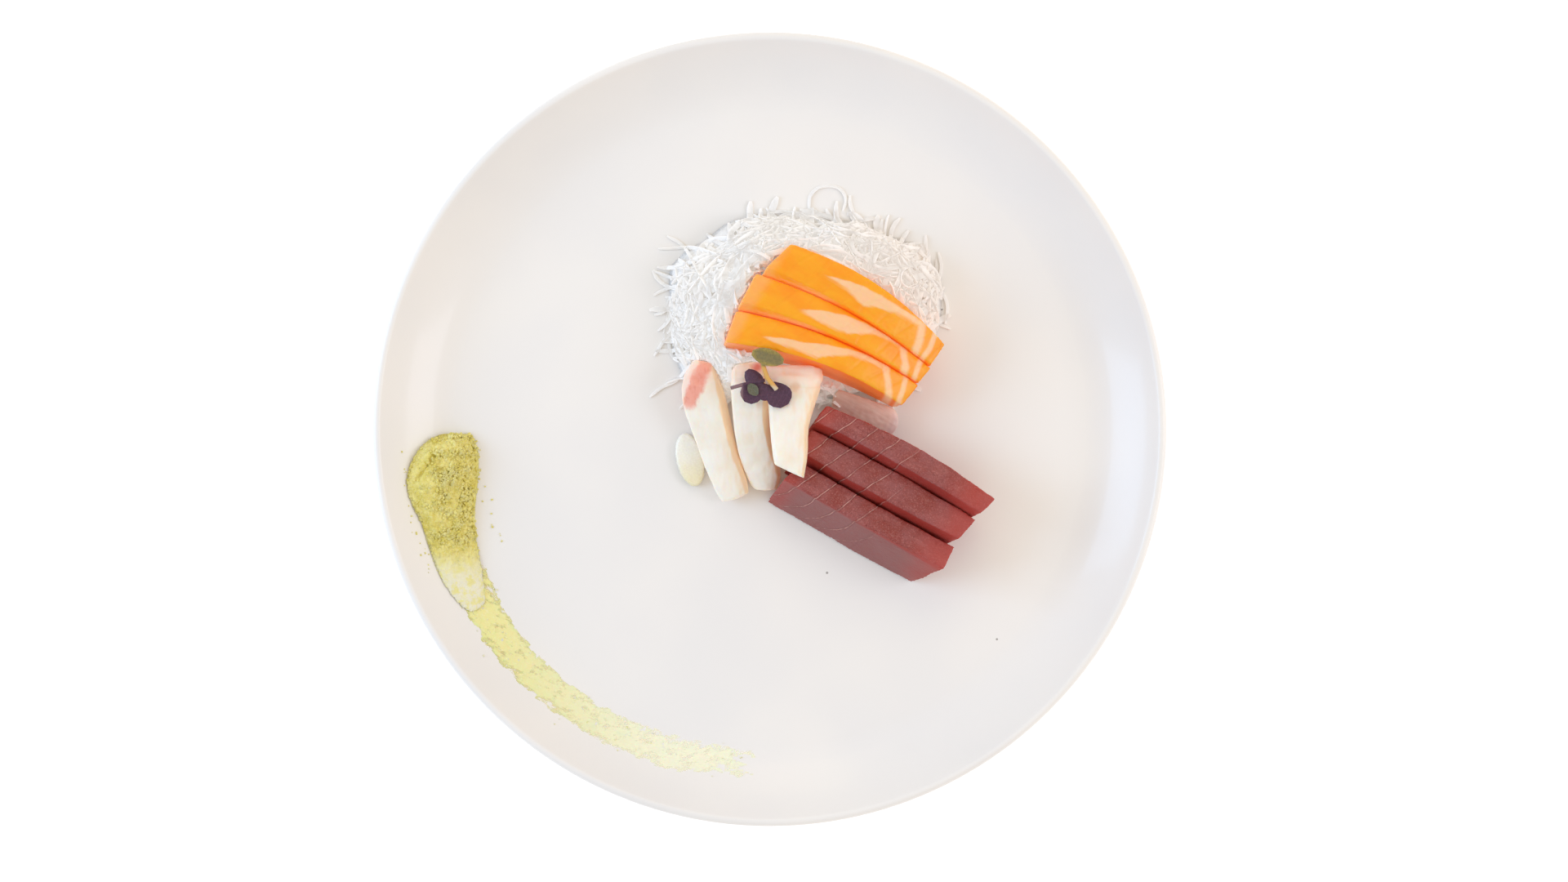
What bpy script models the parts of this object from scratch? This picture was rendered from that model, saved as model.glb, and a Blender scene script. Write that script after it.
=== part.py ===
"""Sashimi plate: a round white coupe plate that carries a nest of shredded daikon, three slices each
of salmon, tuna and white fish, a daikon ribbon, a cucumber slice, two sprouts and a smear of wasabi.

Lengths are in metres, +Z is up, and the origin is the centre of the foot ring's resting face.
The sliced fish lies along FISH_HEADING, so its sizes are given along and across that direction.
"""

import math

import bmesh
import bpy
from mathutils import Matrix, Vector, noise
from mathutils.bvhtree import BVHTree

MM = 0.001
TOUCH = 0.35 * MM  # clearance that touching pieces keep

# Plate
PLATE_RADIUS = 135 * MM
PLATE_SIDES = 64
LIP_HEIGHT = 22 * MM
LIP_ROUND = 1.6 * MM  # radius of the lip's edge
FLOOR = 7.5 * MM  # upper face of the flat well
UNDERSIDE = 3 * MM  # lower face of the flat well
WELL_RADIUS = 108 * MM  # where the upper face starts to climb
BELLY_RADIUS = 105 * MM  # where the lower face starts to climb
CLIMB_POWER = 1.7
CLIMB_STEPS = 5
FOOT_RADIUS = 80 * MM  # middle of the foot ring
FOOT_WIDTH = 4 * MM  # of its flat resting face
FOOT_FLARE = 1.6 * MM

# Sliced fish, along and across its heading
FISH_HEADING = math.radians(-30.2)
SLICE_STATIONS = (0.0, 0.05, 0.27, 0.5, 0.73, 0.95, 1.0)
LEFT_UNDERCUT = 0.12  # of the undercut of the right end
SHOULDER_DROP = 3.2 * MM  # below the upper front edge, where a slice meets the one in front

SALMON_TOP = 34.5 * MM  # upper front edge, at mid length
SALMON_TILT = 2.4 * MM  # the upper back edge is lower by this
SALMON_ARCH = 1.6 * MM  # the ends are lower than mid length by this
SALMON_DROOP = 7.5 * MM  # further fall of the top at the right tip
SALMON_DROOP_START = 0.55  # share of the length
# undercut is how far the right end is cut back at its foot, and swells says whether slices touch
SALMON_FORM = {
    "base": 13 * MM,
    "lean": math.radians(10),
    "undercut": 2.5 * MM,
    "crease": 0.55,
    "crown": 0.3 * MM,
    "swells": True,
}
# Along positions of each slice's left end and right end, at its back edge and its front edge
SALMON_ENDS = (
    ((-25.2, -28.4), (37.0, 36.4)),
    ((-30.4, -29.8), (36.9, 35.8)),
    ((-29.8, -27.6), (36.2, 34.8)),
)
# Across positions of each slice's upper back and front edges, at the left end, middle and right end
SALMON_EDGES = (
    ((-58.0, -61.2, -54.8), (-46.9, -49.2, -46.6)),
    ((-43.3, -48.0, -45.4), (-32.6, -38.8, -39.6)),
    ((-29.2, -37.6, -38.4), (-18.0, -28.4, -29.6)),
)

TUNA_TOP = 29.2 * MM
TUNA_FORM = {
    "base": FLOOR + TOUCH,
    "lean": math.radians(25),
    "undercut": 7 * MM,
    "crease": 0.8,
    "crown": 0.1 * MM,
    "swells": False,
}
TUNA_ENDS = (
    ((12.6, 11.8), (78.6, 76.6)),
    ((12.2, 12.4), (76.4, 74.6)),
    ((16.0, 12.4), (74.9, 75.2)),
)
TUNA_EDGES = (
    ((-17.2, -20.3, -18.4), (-10.2, -12.0, -11.6)),
    ((-7.6, -9.4, -8.9), (1.0, 0.9, -0.2)),
    ((3.8, 3.6, 2.5), (12.2, 12.0, 11.2)),
)

# White fish: stations from the upper to the lower end, each x, y, height of the underside, width, thickness,
# how far the piece rolls to its right and how far its cross section turns, both in degrees
WHITE_FISH = (
    (
        (-22.6, 23.6, 17.5, 6.5, 5.0, 0, 0),
        (-23.5, 18.5, 15.6, 13.0, 7.5, 10, 0),
        (-22.8, 12.0, 13.4, 16.1, 8.5, 18, 0),
        (-21.0, 5.5, 11.2, 15.5, 9.0, 22, 0),
        (-18.6, -2.5, 9.4, 13.8, 8.8, 20, 0),
        (-16.3, -11.0, 8.9, 12.6, 8.2, 18, 0),
        (-13.2, -18.5, 8.6, 12.4, 7.4, 12, 0),
        (-11.4, -23.9, 8.2, 10.4, 5.6, 4, 0),
    ),
    (
        (-7.4, 23.0, 21.5, 10.5, 5.5, 0, 0),
        (-6.7, 17.5, 20.8, 14.1, 7.5, 6, 0),
        (-6.5, 10.5, 19.2, 13.4, 8.4, 14, 0),
        (-6.1, 3.5, 16.4, 12.9, 8.8, 20, 0),
        (-5.2, -4.0, 12.8, 13.2, 8.8, 20, 0),
        (-3.1, -11.0, 10.2, 13.0, 8.4, 16, 0),
        (-1.2, -16.8, 8.8, 12.4, 7.6, 8, 0),
        (-1.4, -21.0, 8.1, 8.0, 5.4, 0, 0),
    ),
    (
        (8.0, 21.8, 21.8, 21.0, 5.8, 0, 0),
        (8.2, 17.6, 21.8, 21.6, 7.8, 0, 0),
        (7.7, 12.6, 21.9, 18.8, 8.4, 0, 0),
        (7.3, 7.0, 22.6, 15.8, 8.2, 2, 0),
        (6.5, 0.5, 24.2, 13.6, 7.8, 4, 0),
        (7.0, -5.0, 26.0, 13.0, 7.0, 4, 0),
        (6.9, -9.8, 27.0, 12.4, 6.2, 2, -8),
        (6.7, -14.4, 27.7, 11.6, 4.6, 0, -23),
    ),
)
# Outline of a strip of white fish, as shares of half its width and half its thickness
STRIP_OUTLINE = ((-1, 0), (-0.9, 0.92), (0, 1.05), (0.9, 0.92), (1, 0), (0.85, -0.9), (0, -1), (-0.85, -0.9))
STRIP_EDGES = (1, 3)  # points of the outline that keep an edge
STRIP_EDGE_CREASE = 0.22
STRIP_END_CREASES = (0.3, 0.3, 0.55)

# Daikon nest
NEST_CENTRE = (11.0 * MM, 40.6 * MM)
NEST_REACH = (46.0 * MM, 31.4 * MM)
NEST_HEIGHT = 21.5 * MM
NEST_SIDES = 40
NEST_RINGS = 11
NEST_LUMP = 1.5 * MM
NEST_LUMP_SIZE = 8 * MM
NEST_SQUARENESS = 2.6
NEST_WAVES = ((3, 0.035, 1.1), (7, 0.03, 0), (11, 0.02, 2))  # count round the edge, share of the reach, phase
NEST_CORNER = (math.radians(215), 0.35, 0.10)  # direction, width and share of the reach
NEST_SHOULDER = (2.4, 0.55)  # powers of the profile: higher first, flatter top
NEST_FOOT = (0.96, 0.5)  # rings of the underside, as shares of the reach

# Daikon ribbon, along and across the fish's heading
RIBBON_ENDS = (12.5 * MM, 38.0 * MM)
RIBBON_EDGES = (-27.6 * MM, -14.8 * MM)
RIBBON_HEIGHTS = (15.5 * MM, 10.6 * MM)
RIBBON_CROWN = 1.4 * MM
RIBBON_THICKNESS = 1.6 * MM
RIBBON_ROUNDING = 3.5 * MM  # of its two ends
RIBBON_RIPPLE = 0.5 * MM
RIBBON_DIP = 1.5 * MM  # of its right end
RIBBON_ROWS = 5
RIBBON_COLUMNS = 7

# Cucumber slice
CUCUMBER_CENTRE = (-27.2 * MM, -10.4 * MM)
CUCUMBER_SIZE = (9.5 * MM, 19.0 * MM, 2.6 * MM)
CUCUMBER_TURN = math.radians(14)
CUCUMBER_FLATNESS = 2.4

# Sprouts
LEAF_THICKNESS = 0.7 * MM
LEAF_ARCH = 0.05  # of its length
LEAF_REACH = 0.92  # share of the leaf between its two cut tips
LEAF_STEPS = 6
LEAF_COLUMNS = 4
# Each leaf: centre, length, width, heading, how far its edges lift, and a power that moves its widest
# place towards its tip
GREEN_LEAF = ((-0.6 * MM, 24.4 * MM), 12.0 * MM, 5.8 * MM, math.radians(-16), 1.0 * MM, 1.0)
GREEN_STEM = ((-1.4, 24.0, 0.4), (-2.2, 21.6, 0.3), (-0.7, 17.3, -0.4), (2.4, 13.4, -1.2))
GREEN_STEM_RADIUS = 0.85 * MM
PURPLE_LEFT_LOBE = ((-6.0 * MM, 12.6 * MM), 8.6 * MM, 7.6 * MM, math.radians(250), 0.4 * MM, 1.25)
PURPLE_RIGHT_LOBE = ((3.0 * MM, 11.8 * MM), 9.8 * MM, 9.0 * MM, math.radians(-62), 0.4 * MM, 1.25)
PURPLE_FOLD = ((-5.4 * MM, 17.0 * MM), 8.0 * MM, 5.6 * MM, math.radians(128), -0.8 * MM, 0.8)
PURPLE_FOLD_THICKNESS = 1.1 * MM
PURPLE_STEM = ((-13.2, 13.9, 0.3), (-9.4, 15.0, 0.7), (-5.2, 15.9, 0.9), (-1.6, 16.6, 0.7))
PURPLE_BRIDGE = ((-4.6, 15.6, 0.2), (0.8, 14.2, 0.2))  # joins the two lobes
PURPLE_STEM_RADIUS = 0.7 * MM

# Wasabi, in polar form round the plate's axis: angle in degrees, inner and outer radius, height
WASABI = (
    (180.6, 101.8, 113.0, 3.5),
    (182.5, 99.8, 119.5, 7.8),
    (186.0, 99.4, 124.8, 9.0),
    (190.5, 100.8, 126.4, 8.0),
    (195.0, 104.0, 122.8, 6.2),
    (199.5, 106.4, 123.2, 4.4),
    (204.0, 107.8, 123.6, 2.6),
    (208.5, 110.6, 122.6, 1.5),
    (212.0, 113.6, 120.0, 1.0),
)
WASABI_RING = 5  # points across its upper face, and across its lower face
WASABI_EDGE = 0.3 * MM  # height of its two long edges
WASABI_DOME = 4  # power of its cross section: higher is flatter
WASABI_LUMP = 0.25  # of its height
WASABI_LUMP_SIZE = 5 * MM
WASABI_END_CREASE = 0.2


def clear_scene():
    for thing in list(bpy.data.objects):
        bpy.data.objects.remove(thing, do_unlink=True)


def new_collection(name):
    collection = bpy.data.collections.new(name)
    bpy.context.scene.collection.children.link(collection)
    return collection


def make_material(name, colour, roughness):
    material = bpy.data.materials.new(name)
    material.use_nodes = True
    shader = material.node_tree.nodes["Principled BSDF"]
    shader.inputs["Base Color"].default_value = (*colour, 1)
    shader.inputs["Roughness"].default_value = roughness
    shader.inputs["Metallic"].default_value = 0
    return material


def add_piece(name, mesh, material=None, collection=None):
    piece = bpy.data.objects.new(name, mesh)
    (collection or PARTS).objects.link(piece)
    if material:
        mesh.materials.append(material)
        mesh.shade_smooth()
        mesh.set_sharp_from_angle(angle=math.radians(40))
    return piece


def evaluated_mesh(piece):
    """The piece's shape with its modifiers, in world space, as a new mesh."""
    bpy.context.view_layer.update()
    seen = piece.evaluated_get(bpy.context.evaluated_depsgraph_get())
    mesh = bpy.data.meshes.new_from_object(seen)
    mesh.transform(piece.matrix_world)
    return mesh


def make_cutter(name, mesh):
    cutter = add_piece(name, mesh, collection=CUTTERS)
    cutter.hide_render = True
    cutter.display_type = "WIRE"
    return cutter


def grown_cutter(piece):
    """A copy of the piece that stands out from it by the clearance."""
    mesh = evaluated_mesh(piece)
    for vertex, normal in zip(mesh.vertices, [v.vector.copy() for v in mesh.vertex_normals]):
        vertex.co += TOUCH * normal
    return make_cutter("clear_" + piece.name, mesh)


def hull_cutter(name, pieces):
    """The convex shape round several pieces, which stands out from them by the clearance."""
    shell = bmesh.new()
    for piece in pieces:
        for vertex in evaluated_mesh(piece).vertices:
            shell.verts.new(vertex.co)
    bmesh.ops.convex_hull(shell, input=shell.verts)
    bmesh.ops.delete(shell, geom=[v for v in shell.verts if not v.link_faces], context="VERTS")
    bmesh.ops.recalc_face_normals(shell, faces=shell.faces)
    shell.normal_update()
    for vertex in shell.verts:
        vertex.co += TOUCH * vertex.normal
    mesh = bpy.data.meshes.new(name)
    shell.to_mesh(mesh)
    shell.free()
    return make_cutter(name, mesh)


def cut_by(piece, *cutters, operation="DIFFERENCE"):
    for cutter in cutters:
        cut = piece.modifiers.new(cutter.name, "BOOLEAN")
        cut.operation = operation
        cut.object = cutter
        cut.solver = "EXACT"


def joined_with(piece, *others):
    """Makes one body of the piece and the others, which move with it from then on."""
    for other in others:
        other.parent = piece
    cut_by(piece, *others, operation="UNION")


def subdivide(piece, levels=1):
    smooth = piece.modifiers.new("rounded", "SUBSURF")
    smooth.levels = levels
    smooth.render_levels = levels


def loft(name, rings, creased=(), crease=0.0, end_crease=0.0):
    """A closed cage through rings of equal length. Lines through the creased ring points stay crisp."""
    cage = bmesh.new()
    sharpness = cage.edges.layers.float.new("crease_edge")
    count = len(rings[0])
    levels = [[cage.verts.new(point) for point in ring] for ring in rings]
    for lower, upper in zip(levels, levels[1:]):
        for i in range(count):
            j = (i + 1) % count
            cage.faces.new((lower[i], lower[j], upper[j], upper[i]))
    cage.faces.new(levels[0][::-1])
    cage.faces.new(levels[-1])
    for lower, upper in zip(levels, levels[1:]):
        for i in creased:
            cage.edges.get((lower[i], upper[i]))[sharpness] = crease
    for ring in (levels[0], levels[-1]):
        for i in range(count):
            cage.edges.get((ring[i], ring[(i + 1) % count]))[sharpness] = end_crease
    bmesh.ops.recalc_face_normals(cage, faces=cage.faces)
    mesh = bpy.data.meshes.new(name)
    cage.to_mesh(mesh)
    cage.free()
    return mesh


def between(first, last, share):
    return first + (last - first) * share


def bow(values, share):
    """The parabola through three values at the start, middle and end."""
    start, middle, end = values
    return (
        start * (2 * share - 1) * (share - 1)
        + middle * 4 * share * (1 - share)
        + end * share * (2 * share - 1)
    )


def laid(along, across, height):
    """A point given along and across the sliced fish. Across grows towards the diner."""
    forward = Vector((math.cos(FISH_HEADING), math.sin(FISH_HEADING), 0))
    towards = Vector((math.sin(FISH_HEADING), -math.cos(FISH_HEADING), 0))
    return along * forward + across * towards + Vector((0, 0, height))


# ---------------------------------------------------------------------------------------- plate


def climb_points(start, low, end, high):
    """The curve from a flat face up to the lip, as radius and height, from the inside outwards."""
    points = []
    for step in range(CLIMB_STEPS + 1):
        share = step / CLIMB_STEPS
        points.append((between(start, end, share), low + (high - low) * share**CLIMB_POWER))
    return points


LIP_CENTRE = (PLATE_RADIUS - LIP_ROUND, LIP_HEIGHT - LIP_ROUND)
LIP_OFFSET = LIP_ROUND * math.sin(math.radians(45))
UPPER_FACE = climb_points(WELL_RADIUS, FLOOR, LIP_CENTRE[0] - LIP_OFFSET, LIP_CENTRE[1] + LIP_OFFSET)
LOWER_FACE = climb_points(BELLY_RADIUS, UNDERSIDE, LIP_CENTRE[0] + LIP_OFFSET, LIP_CENTRE[1] - LIP_OFFSET)


def plate_height(radius):
    """Height of the plate's upper face at a distance from its axis."""
    for (near, low), (far, high) in zip(UPPER_FACE, UPPER_FACE[1:]):
        if near <= radius <= far:
            return between(low, high, (radius - near) / (far - near))
    return FLOOR


def make_plate(material):
    lip = []
    for degrees in (90, 45, 0):
        angle = math.radians(degrees)
        lip.append((LIP_CENTRE[0] + LIP_ROUND * math.cos(angle), LIP_CENTRE[1] + LIP_ROUND * math.sin(angle)))
    half = FOOT_WIDTH / 2
    foot = [
        (FOOT_RADIUS + half + FOOT_FLARE, UNDERSIDE),
        (FOOT_RADIUS + half, 0),
        (FOOT_RADIUS - half, 0),
        (FOOT_RADIUS - half - FOOT_FLARE, UNDERSIDE),
    ]
    profile = [(0, FLOOR)] + UPPER_FACE + lip + LOWER_FACE[::-1] + foot + [(0, UNDERSIDE)]
    mesh = bpy.data.meshes.new("plate")
    links = [(i, i + 1) for i in range(len(profile) - 1)]
    mesh.from_pydata([(radius, 0, height) for radius, height in profile], links, [])
    plate = add_piece("plate", mesh, material)
    turn = plate.modifiers.new("turned", "SCREW")
    turn.steps = PLATE_SIDES
    turn.render_steps = PLATE_SIDES
    turn.use_merge_vertices = True
    turn.merge_threshold = 0.01 * MM
    turn.use_smooth_shade = True
    return plate


# --------------------------------------------------------------------------------- sliced fish


def slice_ring(back, front, back_base, front_base, crown, shoulder):
    """Eight points round a slice: its four corners and a point on each side between them."""
    top = (back + front) / 2 + Vector((0, 0, crown))
    corners = (back, top, front, shoulder or (front + front_base) / 2, front_base)
    return [*corners, (front_base + back_base) / 2, back_base, (back_base + back) / 2]


def salmon_heights(edges, share):
    """Heights of a slice's upper back and front edges at a share of its length."""
    droop = max(0, share - SALMON_DROOP_START) / (1 - SALMON_DROOP_START)
    front = SALMON_TOP - SALMON_ARCH * (1 - math.sin(math.pi * share)) - SALMON_DROOP * droop**2
    return front - SALMON_TILT, front


def tuna_heights(edges, share):
    """As above: the top is cut square to the lean, so its back edge falls with the slice's width."""
    back, front = edges
    width = (bow(front, share) - bow(back, share)) * MM
    return TUNA_TOP - width * math.tan(TUNA_FORM["lean"]), TUNA_TOP


def make_slice(name, material, edges, ends, heights, form, next_edges):
    """One slice that leans back. Its front face swells to the upper back edge of the next slice."""
    left, right = ends
    slope = math.tan(form["lean"])
    rings = []
    for share in SLICE_STATIONS:
        cut_back = form["undercut"] * (share**3 + LEFT_UNDERCUT * (1 - share) ** 3)
        tops, bases = [], []
        for side, top in enumerate(heights(edges, share)):
            along = between(left[side], right[side], share) * MM
            across = bow(edges[side], share) * MM
            tops.append(laid(along, across, top))
            bases.append(laid(along - cut_back, across + slope * (top - form["base"]), form["base"]))
        shoulder = None
        if next_edges:
            across = bow(next_edges[0], share) * MM - TOUCH
            shoulder = laid(along, across, top - SHOULDER_DROP)
        rings.append(slice_ring(*tops, *bases, form["crown"], shoulder))
    creased = (0, 2, 3, 4, 6) if next_edges else (0, 2, 4, 6)
    piece = add_piece(name, loft(name, rings, creased, form["crease"], form["crease"]), material)
    subdivide(piece)
    return piece


def make_slices(kind, material, all_edges, all_ends, heights, form):
    slices = []
    for i, (edges, ends) in enumerate(zip(all_edges, all_ends)):
        next_edges = all_edges[i + 1] if form["swells"] and i + 1 < len(all_edges) else None
        slices.append(make_slice(f"{kind}_slice_{i + 1}", material, edges, ends, heights, form, next_edges))
    return slices


# ---------------------------------------------------------------------------------- white fish


def strip_ring(centre, heading, width, thickness, roll):
    """The outline of a soft strip: a rounded rectangle that stands across its heading."""
    side = Vector((math.sin(heading), -math.cos(heading), 0))
    up = Vector((0, 0, 1))
    tilt = math.radians(roll)
    points = []
    for u, v in STRIP_OUTLINE:
        across = u * width / 2
        rise = v * thickness / 2
        turned = across * math.cos(tilt) + rise * math.sin(tilt)
        lifted = rise * math.cos(tilt) - across * math.sin(tilt)
        points.append(centre + turned * side + lifted * up)
    return points


def make_white_fish(material):
    pieces = []
    for number, (stations, end_crease) in enumerate(zip(WHITE_FISH, STRIP_END_CREASES), 1):
        centres = [Vector((x, y, low + thick / 2)) * MM for x, y, low, _, thick, _, _ in stations]
        rings = []
        for i, (_, _, _, wide, thick, roll, turn) in enumerate(stations):
            ahead = centres[min(i + 1, len(centres) - 1)] - centres[max(i - 1, 0)]
            heading = math.atan2(ahead.y, ahead.x) + math.radians(turn)
            rings.append(strip_ring(centres[i], heading, wide * MM, thick * MM, roll))
        name = f"white_fish_slice_{number}"
        mesh = loft(name, rings, STRIP_EDGES, STRIP_EDGE_CREASE, end_crease)
        piece = add_piece(name, mesh, material)
        subdivide(piece)
        pieces.append(piece)
    return pieces


# -------------------------------------------------------------------------------------- daikon


def nest_reach(angle):
    """Distance from the nest's centre to its uneven outline."""
    across, along = NEST_REACH
    power = NEST_SQUARENESS
    oval = (abs(math.cos(angle)) / across) ** power + (abs(math.sin(angle)) / along) ** power
    uneven = 1 + sum(size * math.sin(count * angle + phase) for count, size, phase in NEST_WAVES)
    direction, width, size = NEST_CORNER
    corner = size * math.exp(-(((angle - direction) / width) ** 2))
    return oval ** (-1 / power) * (uneven + corner)


def make_nest(material):
    """A low heap with a flat underside: rings run from its top, over its edge, to under its middle."""
    cage = bmesh.new()
    base = FLOOR + TOUCH
    centre = Vector((*NEST_CENTRE, 0))

    def ring(share, height_share):
        verts = []
        for i in range(NEST_SIDES):
            angle = 2 * math.pi * i / NEST_SIDES
            reach = nest_reach(angle) * share
            point = centre + Vector((math.cos(angle), math.sin(angle), 0)) * reach
            lump = noise.noise(point / NEST_LUMP_SIZE) * NEST_LUMP
            height = max(0, NEST_HEIGHT * height_share + lump * min(1, 3 * height_share))
            verts.append(cage.verts.new(point + Vector((0, 0, base + height))))
        return verts

    first, second = NEST_SHOULDER
    upper = []
    for step in range(1, NEST_RINGS):
        share = math.sin(math.pi / 2 * step / (NEST_RINGS - 1))
        upper.append(ring(share, (1 - share**first) ** second))
    rings = upper + [ring(share, 0.0) for share in NEST_FOOT]
    crown = cage.verts.new(centre + Vector((0, 0, base + NEST_HEIGHT)))
    sole = cage.verts.new(centre + Vector((0, 0, base)))
    for i in range(NEST_SIDES):
        j = (i + 1) % NEST_SIDES
        cage.faces.new((crown, rings[0][i], rings[0][j]))
        cage.faces.new((sole, rings[-1][j], rings[-1][i]))
        for inner, outer in zip(rings, rings[1:]):
            cage.faces.new((inner[i], outer[i], outer[j], inner[j]))
    mesh = bpy.data.meshes.new("daikon_nest")
    cage.to_mesh(mesh)
    cage.free()
    return add_piece("daikon_nest", mesh, material)


def make_ribbon(material):
    """A thin sheet that slopes from the salmon's foot down to the tuna's back."""
    sheet = bmesh.new()
    grid = []
    for row in range(RIBBON_ROWS):
        across_share = row / (RIBBON_ROWS - 1)
        line = []
        for column in range(RIBBON_COLUMNS):
            share = column / (RIBBON_COLUMNS - 1)
            rounding = RIBBON_ROUNDING * (2 * across_share - 1) ** 2 * (2 * share - 1)
            along = between(*RIBBON_ENDS, share) - rounding
            across = between(*RIBBON_EDGES, across_share)
            height = between(*RIBBON_HEIGHTS, across_share) + RIBBON_CROWN * math.sin(math.pi * across_share)
            height += RIBBON_RIPPLE * math.sin(9 * share + 2 * across_share) - RIBBON_DIP * share**3
            line.append(sheet.verts.new(laid(along, across, height)))
        grid.append(line)
    for upper, lower in zip(grid, grid[1:]):
        for i in range(RIBBON_COLUMNS - 1):
            sheet.faces.new((upper[i], upper[i + 1], lower[i + 1], lower[i]))
    bmesh.ops.recalc_face_normals(sheet, faces=sheet.faces)
    mesh = bpy.data.meshes.new("daikon_ribbon")
    sheet.to_mesh(mesh)
    sheet.free()
    ribbon = add_piece("daikon_ribbon", mesh, material)
    shell = ribbon.modifiers.new("thickness", "SOLIDIFY")
    shell.thickness = RIBBON_THICKNESS
    shell.offset = 0
    subdivide(ribbon)
    return ribbon


# ------------------------------------------------------------------------------------ cucumber


def make_cucumber(material):
    """A thin slice with rounded ends that lies on the plate."""
    wide, long, thick = CUCUMBER_SIZE
    form = bmesh.new()
    bmesh.ops.create_uvsphere(form, u_segments=16, v_segments=8, radius=0.5)
    for vertex in form.verts:
        x, y, z = vertex.co
        flat = max(-0.5, min(0.5, z * CUCUMBER_FLATNESS))
        vertex.co = (x * wide, y * long, flat * thick)
    mesh = bpy.data.meshes.new("cucumber_slice")
    form.to_mesh(mesh)
    form.free()
    piece = add_piece("cucumber_slice", mesh, material)
    piece.location = (*CUCUMBER_CENTRE, FLOOR + TOUCH + thick / 2)
    piece.rotation_euler = (0, 0, CUCUMBER_TURN)
    return piece


# ------------------------------------------------------------------------------------- sprouts


def leaf_mesh(name, centre, length, width, heading, cup, blunt):
    """An open leaf blade."""
    blade = bmesh.new()
    turn = Matrix.Rotation(heading, 3, "Z")
    grid = []
    for step in range(LEAF_STEPS + 1):
        share = 0.5 + LEAF_REACH * (step / LEAF_STEPS - 0.5)
        fullness = math.sin(math.pi * share**blunt) ** 0.6
        line = []
        for column in range(LEAF_COLUMNS + 1):
            side = 2 * column / LEAF_COLUMNS - 1
            lift = cup * side * side * fullness + LEAF_ARCH * length * math.sin(math.pi * share)
            point = Vector(((share - 0.5) * length, side * fullness * width / 2, lift))
            line.append(blade.verts.new(turn @ point))
        grid.append(line)
    for lower, upper in zip(grid, grid[1:]):
        for i in range(LEAF_COLUMNS):
            blade.faces.new((lower[i], upper[i], upper[i + 1], lower[i + 1]))
    bmesh.ops.recalc_face_normals(blade, faces=blade.faces)
    for vertex in blade.verts:
        vertex.co += Vector((*centre, 0))
    mesh = bpy.data.meshes.new(name)
    blade.to_mesh(mesh)
    blade.free()
    return mesh


def thicken(blade, thickness=LEAF_THICKNESS):
    shell = blade.modifiers.new("thickness", "SOLIDIFY")
    shell.thickness = thickness
    shell.offset = 0


def stem_cutter(name, points, radius):
    """A round stem along a curve, as a mesh that a leaf can be joined to."""
    path = bpy.data.curves.new(name, "CURVE")
    path.dimensions = "3D"
    path.bevel_depth = radius
    path.bevel_resolution = 1
    path.use_fill_caps = True
    spline = path.splines.new("POLY")
    spline.points.add(len(points) - 1)
    for point, (x, y, z) in zip(spline.points, points):
        point.co = (x * MM, y * MM, z * MM, 1)
    stem = bpy.data.objects.new(name, path)
    CUTTERS.objects.link(stem)
    mesh = evaluated_mesh(stem)
    bpy.data.objects.remove(stem)
    form = bmesh.new()
    form.from_mesh(mesh)
    bmesh.ops.remove_doubles(form, verts=form.verts, dist=0.01 * MM)
    form.to_mesh(mesh)
    form.free()
    return make_cutter(name, mesh)


def top_surface(supports):
    """A function that gives the highest surface of the supports over a point, or None."""
    trees = []
    for support in supports:
        form = bmesh.new()
        form.from_mesh(evaluated_mesh(support))
        trees.append(BVHTree.FromBMesh(form))
        form.free()

    def height(x, y):
        hits = [tree.ray_cast(Vector((x, y, 1)), Vector((0, 0, -1)))[0] for tree in trees]
        return max((hit.z for hit in hits if hit), default=None)

    return height


def settle(piece, supports):
    """Lowers the piece until its lowest point over the supports is a clearance above them."""
    surface = top_surface(supports)
    room = []
    for vertex in evaluated_mesh(piece).vertices:
        below = surface(vertex.co.x, vertex.co.y)
        if below is not None:
            room.append(vertex.co.z - below)
    piece.location.z += TOUCH - min(room)


def make_purple_sprout(material):
    """Two notched seed leaves, a folded leaf over them and a thin stem, as one body."""
    name = "purple_sprout"
    right = add_piece(name, leaf_mesh(name, *PURPLE_RIGHT_LOBE), material)
    thicken(right)
    left = make_cutter("purple_left_lobe", leaf_mesh("purple_left_lobe", *PURPLE_LEFT_LOBE))
    thicken(left)
    fold = make_cutter("purple_fold", leaf_mesh("purple_fold", *PURPLE_FOLD))
    thicken(fold, PURPLE_FOLD_THICKNESS)
    stem = stem_cutter("purple_stem", PURPLE_STEM, PURPLE_STEM_RADIUS)
    bridge = stem_cutter("purple_bridge", PURPLE_BRIDGE, PURPLE_STEM_RADIUS)
    joined_with(right, left, fold, stem, bridge)
    return right


def make_green_sprout(material):
    """A folded leaf on a pale stem, as one body."""
    name = "green_sprout"
    leaf = add_piece(name, leaf_mesh(name, *GREEN_LEAF), material)
    thicken(leaf)
    stem = stem_cutter("green_stem", GREEN_STEM, GREEN_STEM_RADIUS)
    joined_with(leaf, stem)
    return leaf


# -------------------------------------------------------------------------------------- wasabi


def make_wasabi(material):
    """A dollop that is dragged out along the rim. Its underside follows the plate."""
    rings = []
    for degrees, inner, outer, height in WASABI:
        angle = math.radians(degrees)
        out = Vector((math.cos(angle), math.sin(angle), 0))
        upper, lower = [], []
        for step in range(WASABI_RING):
            share = step / (WASABI_RING - 1)
            radius = between(inner, outer, share) * MM
            low = plate_height(radius) + TOUCH
            dome = (1 - (2 * share - 1) ** WASABI_DOME) ** 0.5
            lump = 1 + WASABI_LUMP * noise.noise(out * radius / WASABI_LUMP_SIZE)
            top = low + WASABI_EDGE + height * MM * dome * lump
            lower.append(radius * out + Vector((0, 0, low)))
            upper.append(radius * out + Vector((0, 0, top)))
        rings.append(upper + lower[::-1])
    piece = add_piece("wasabi", loft("wasabi", rings, end_crease=WASABI_END_CREASE), material)
    subdivide(piece)
    return piece


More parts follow.
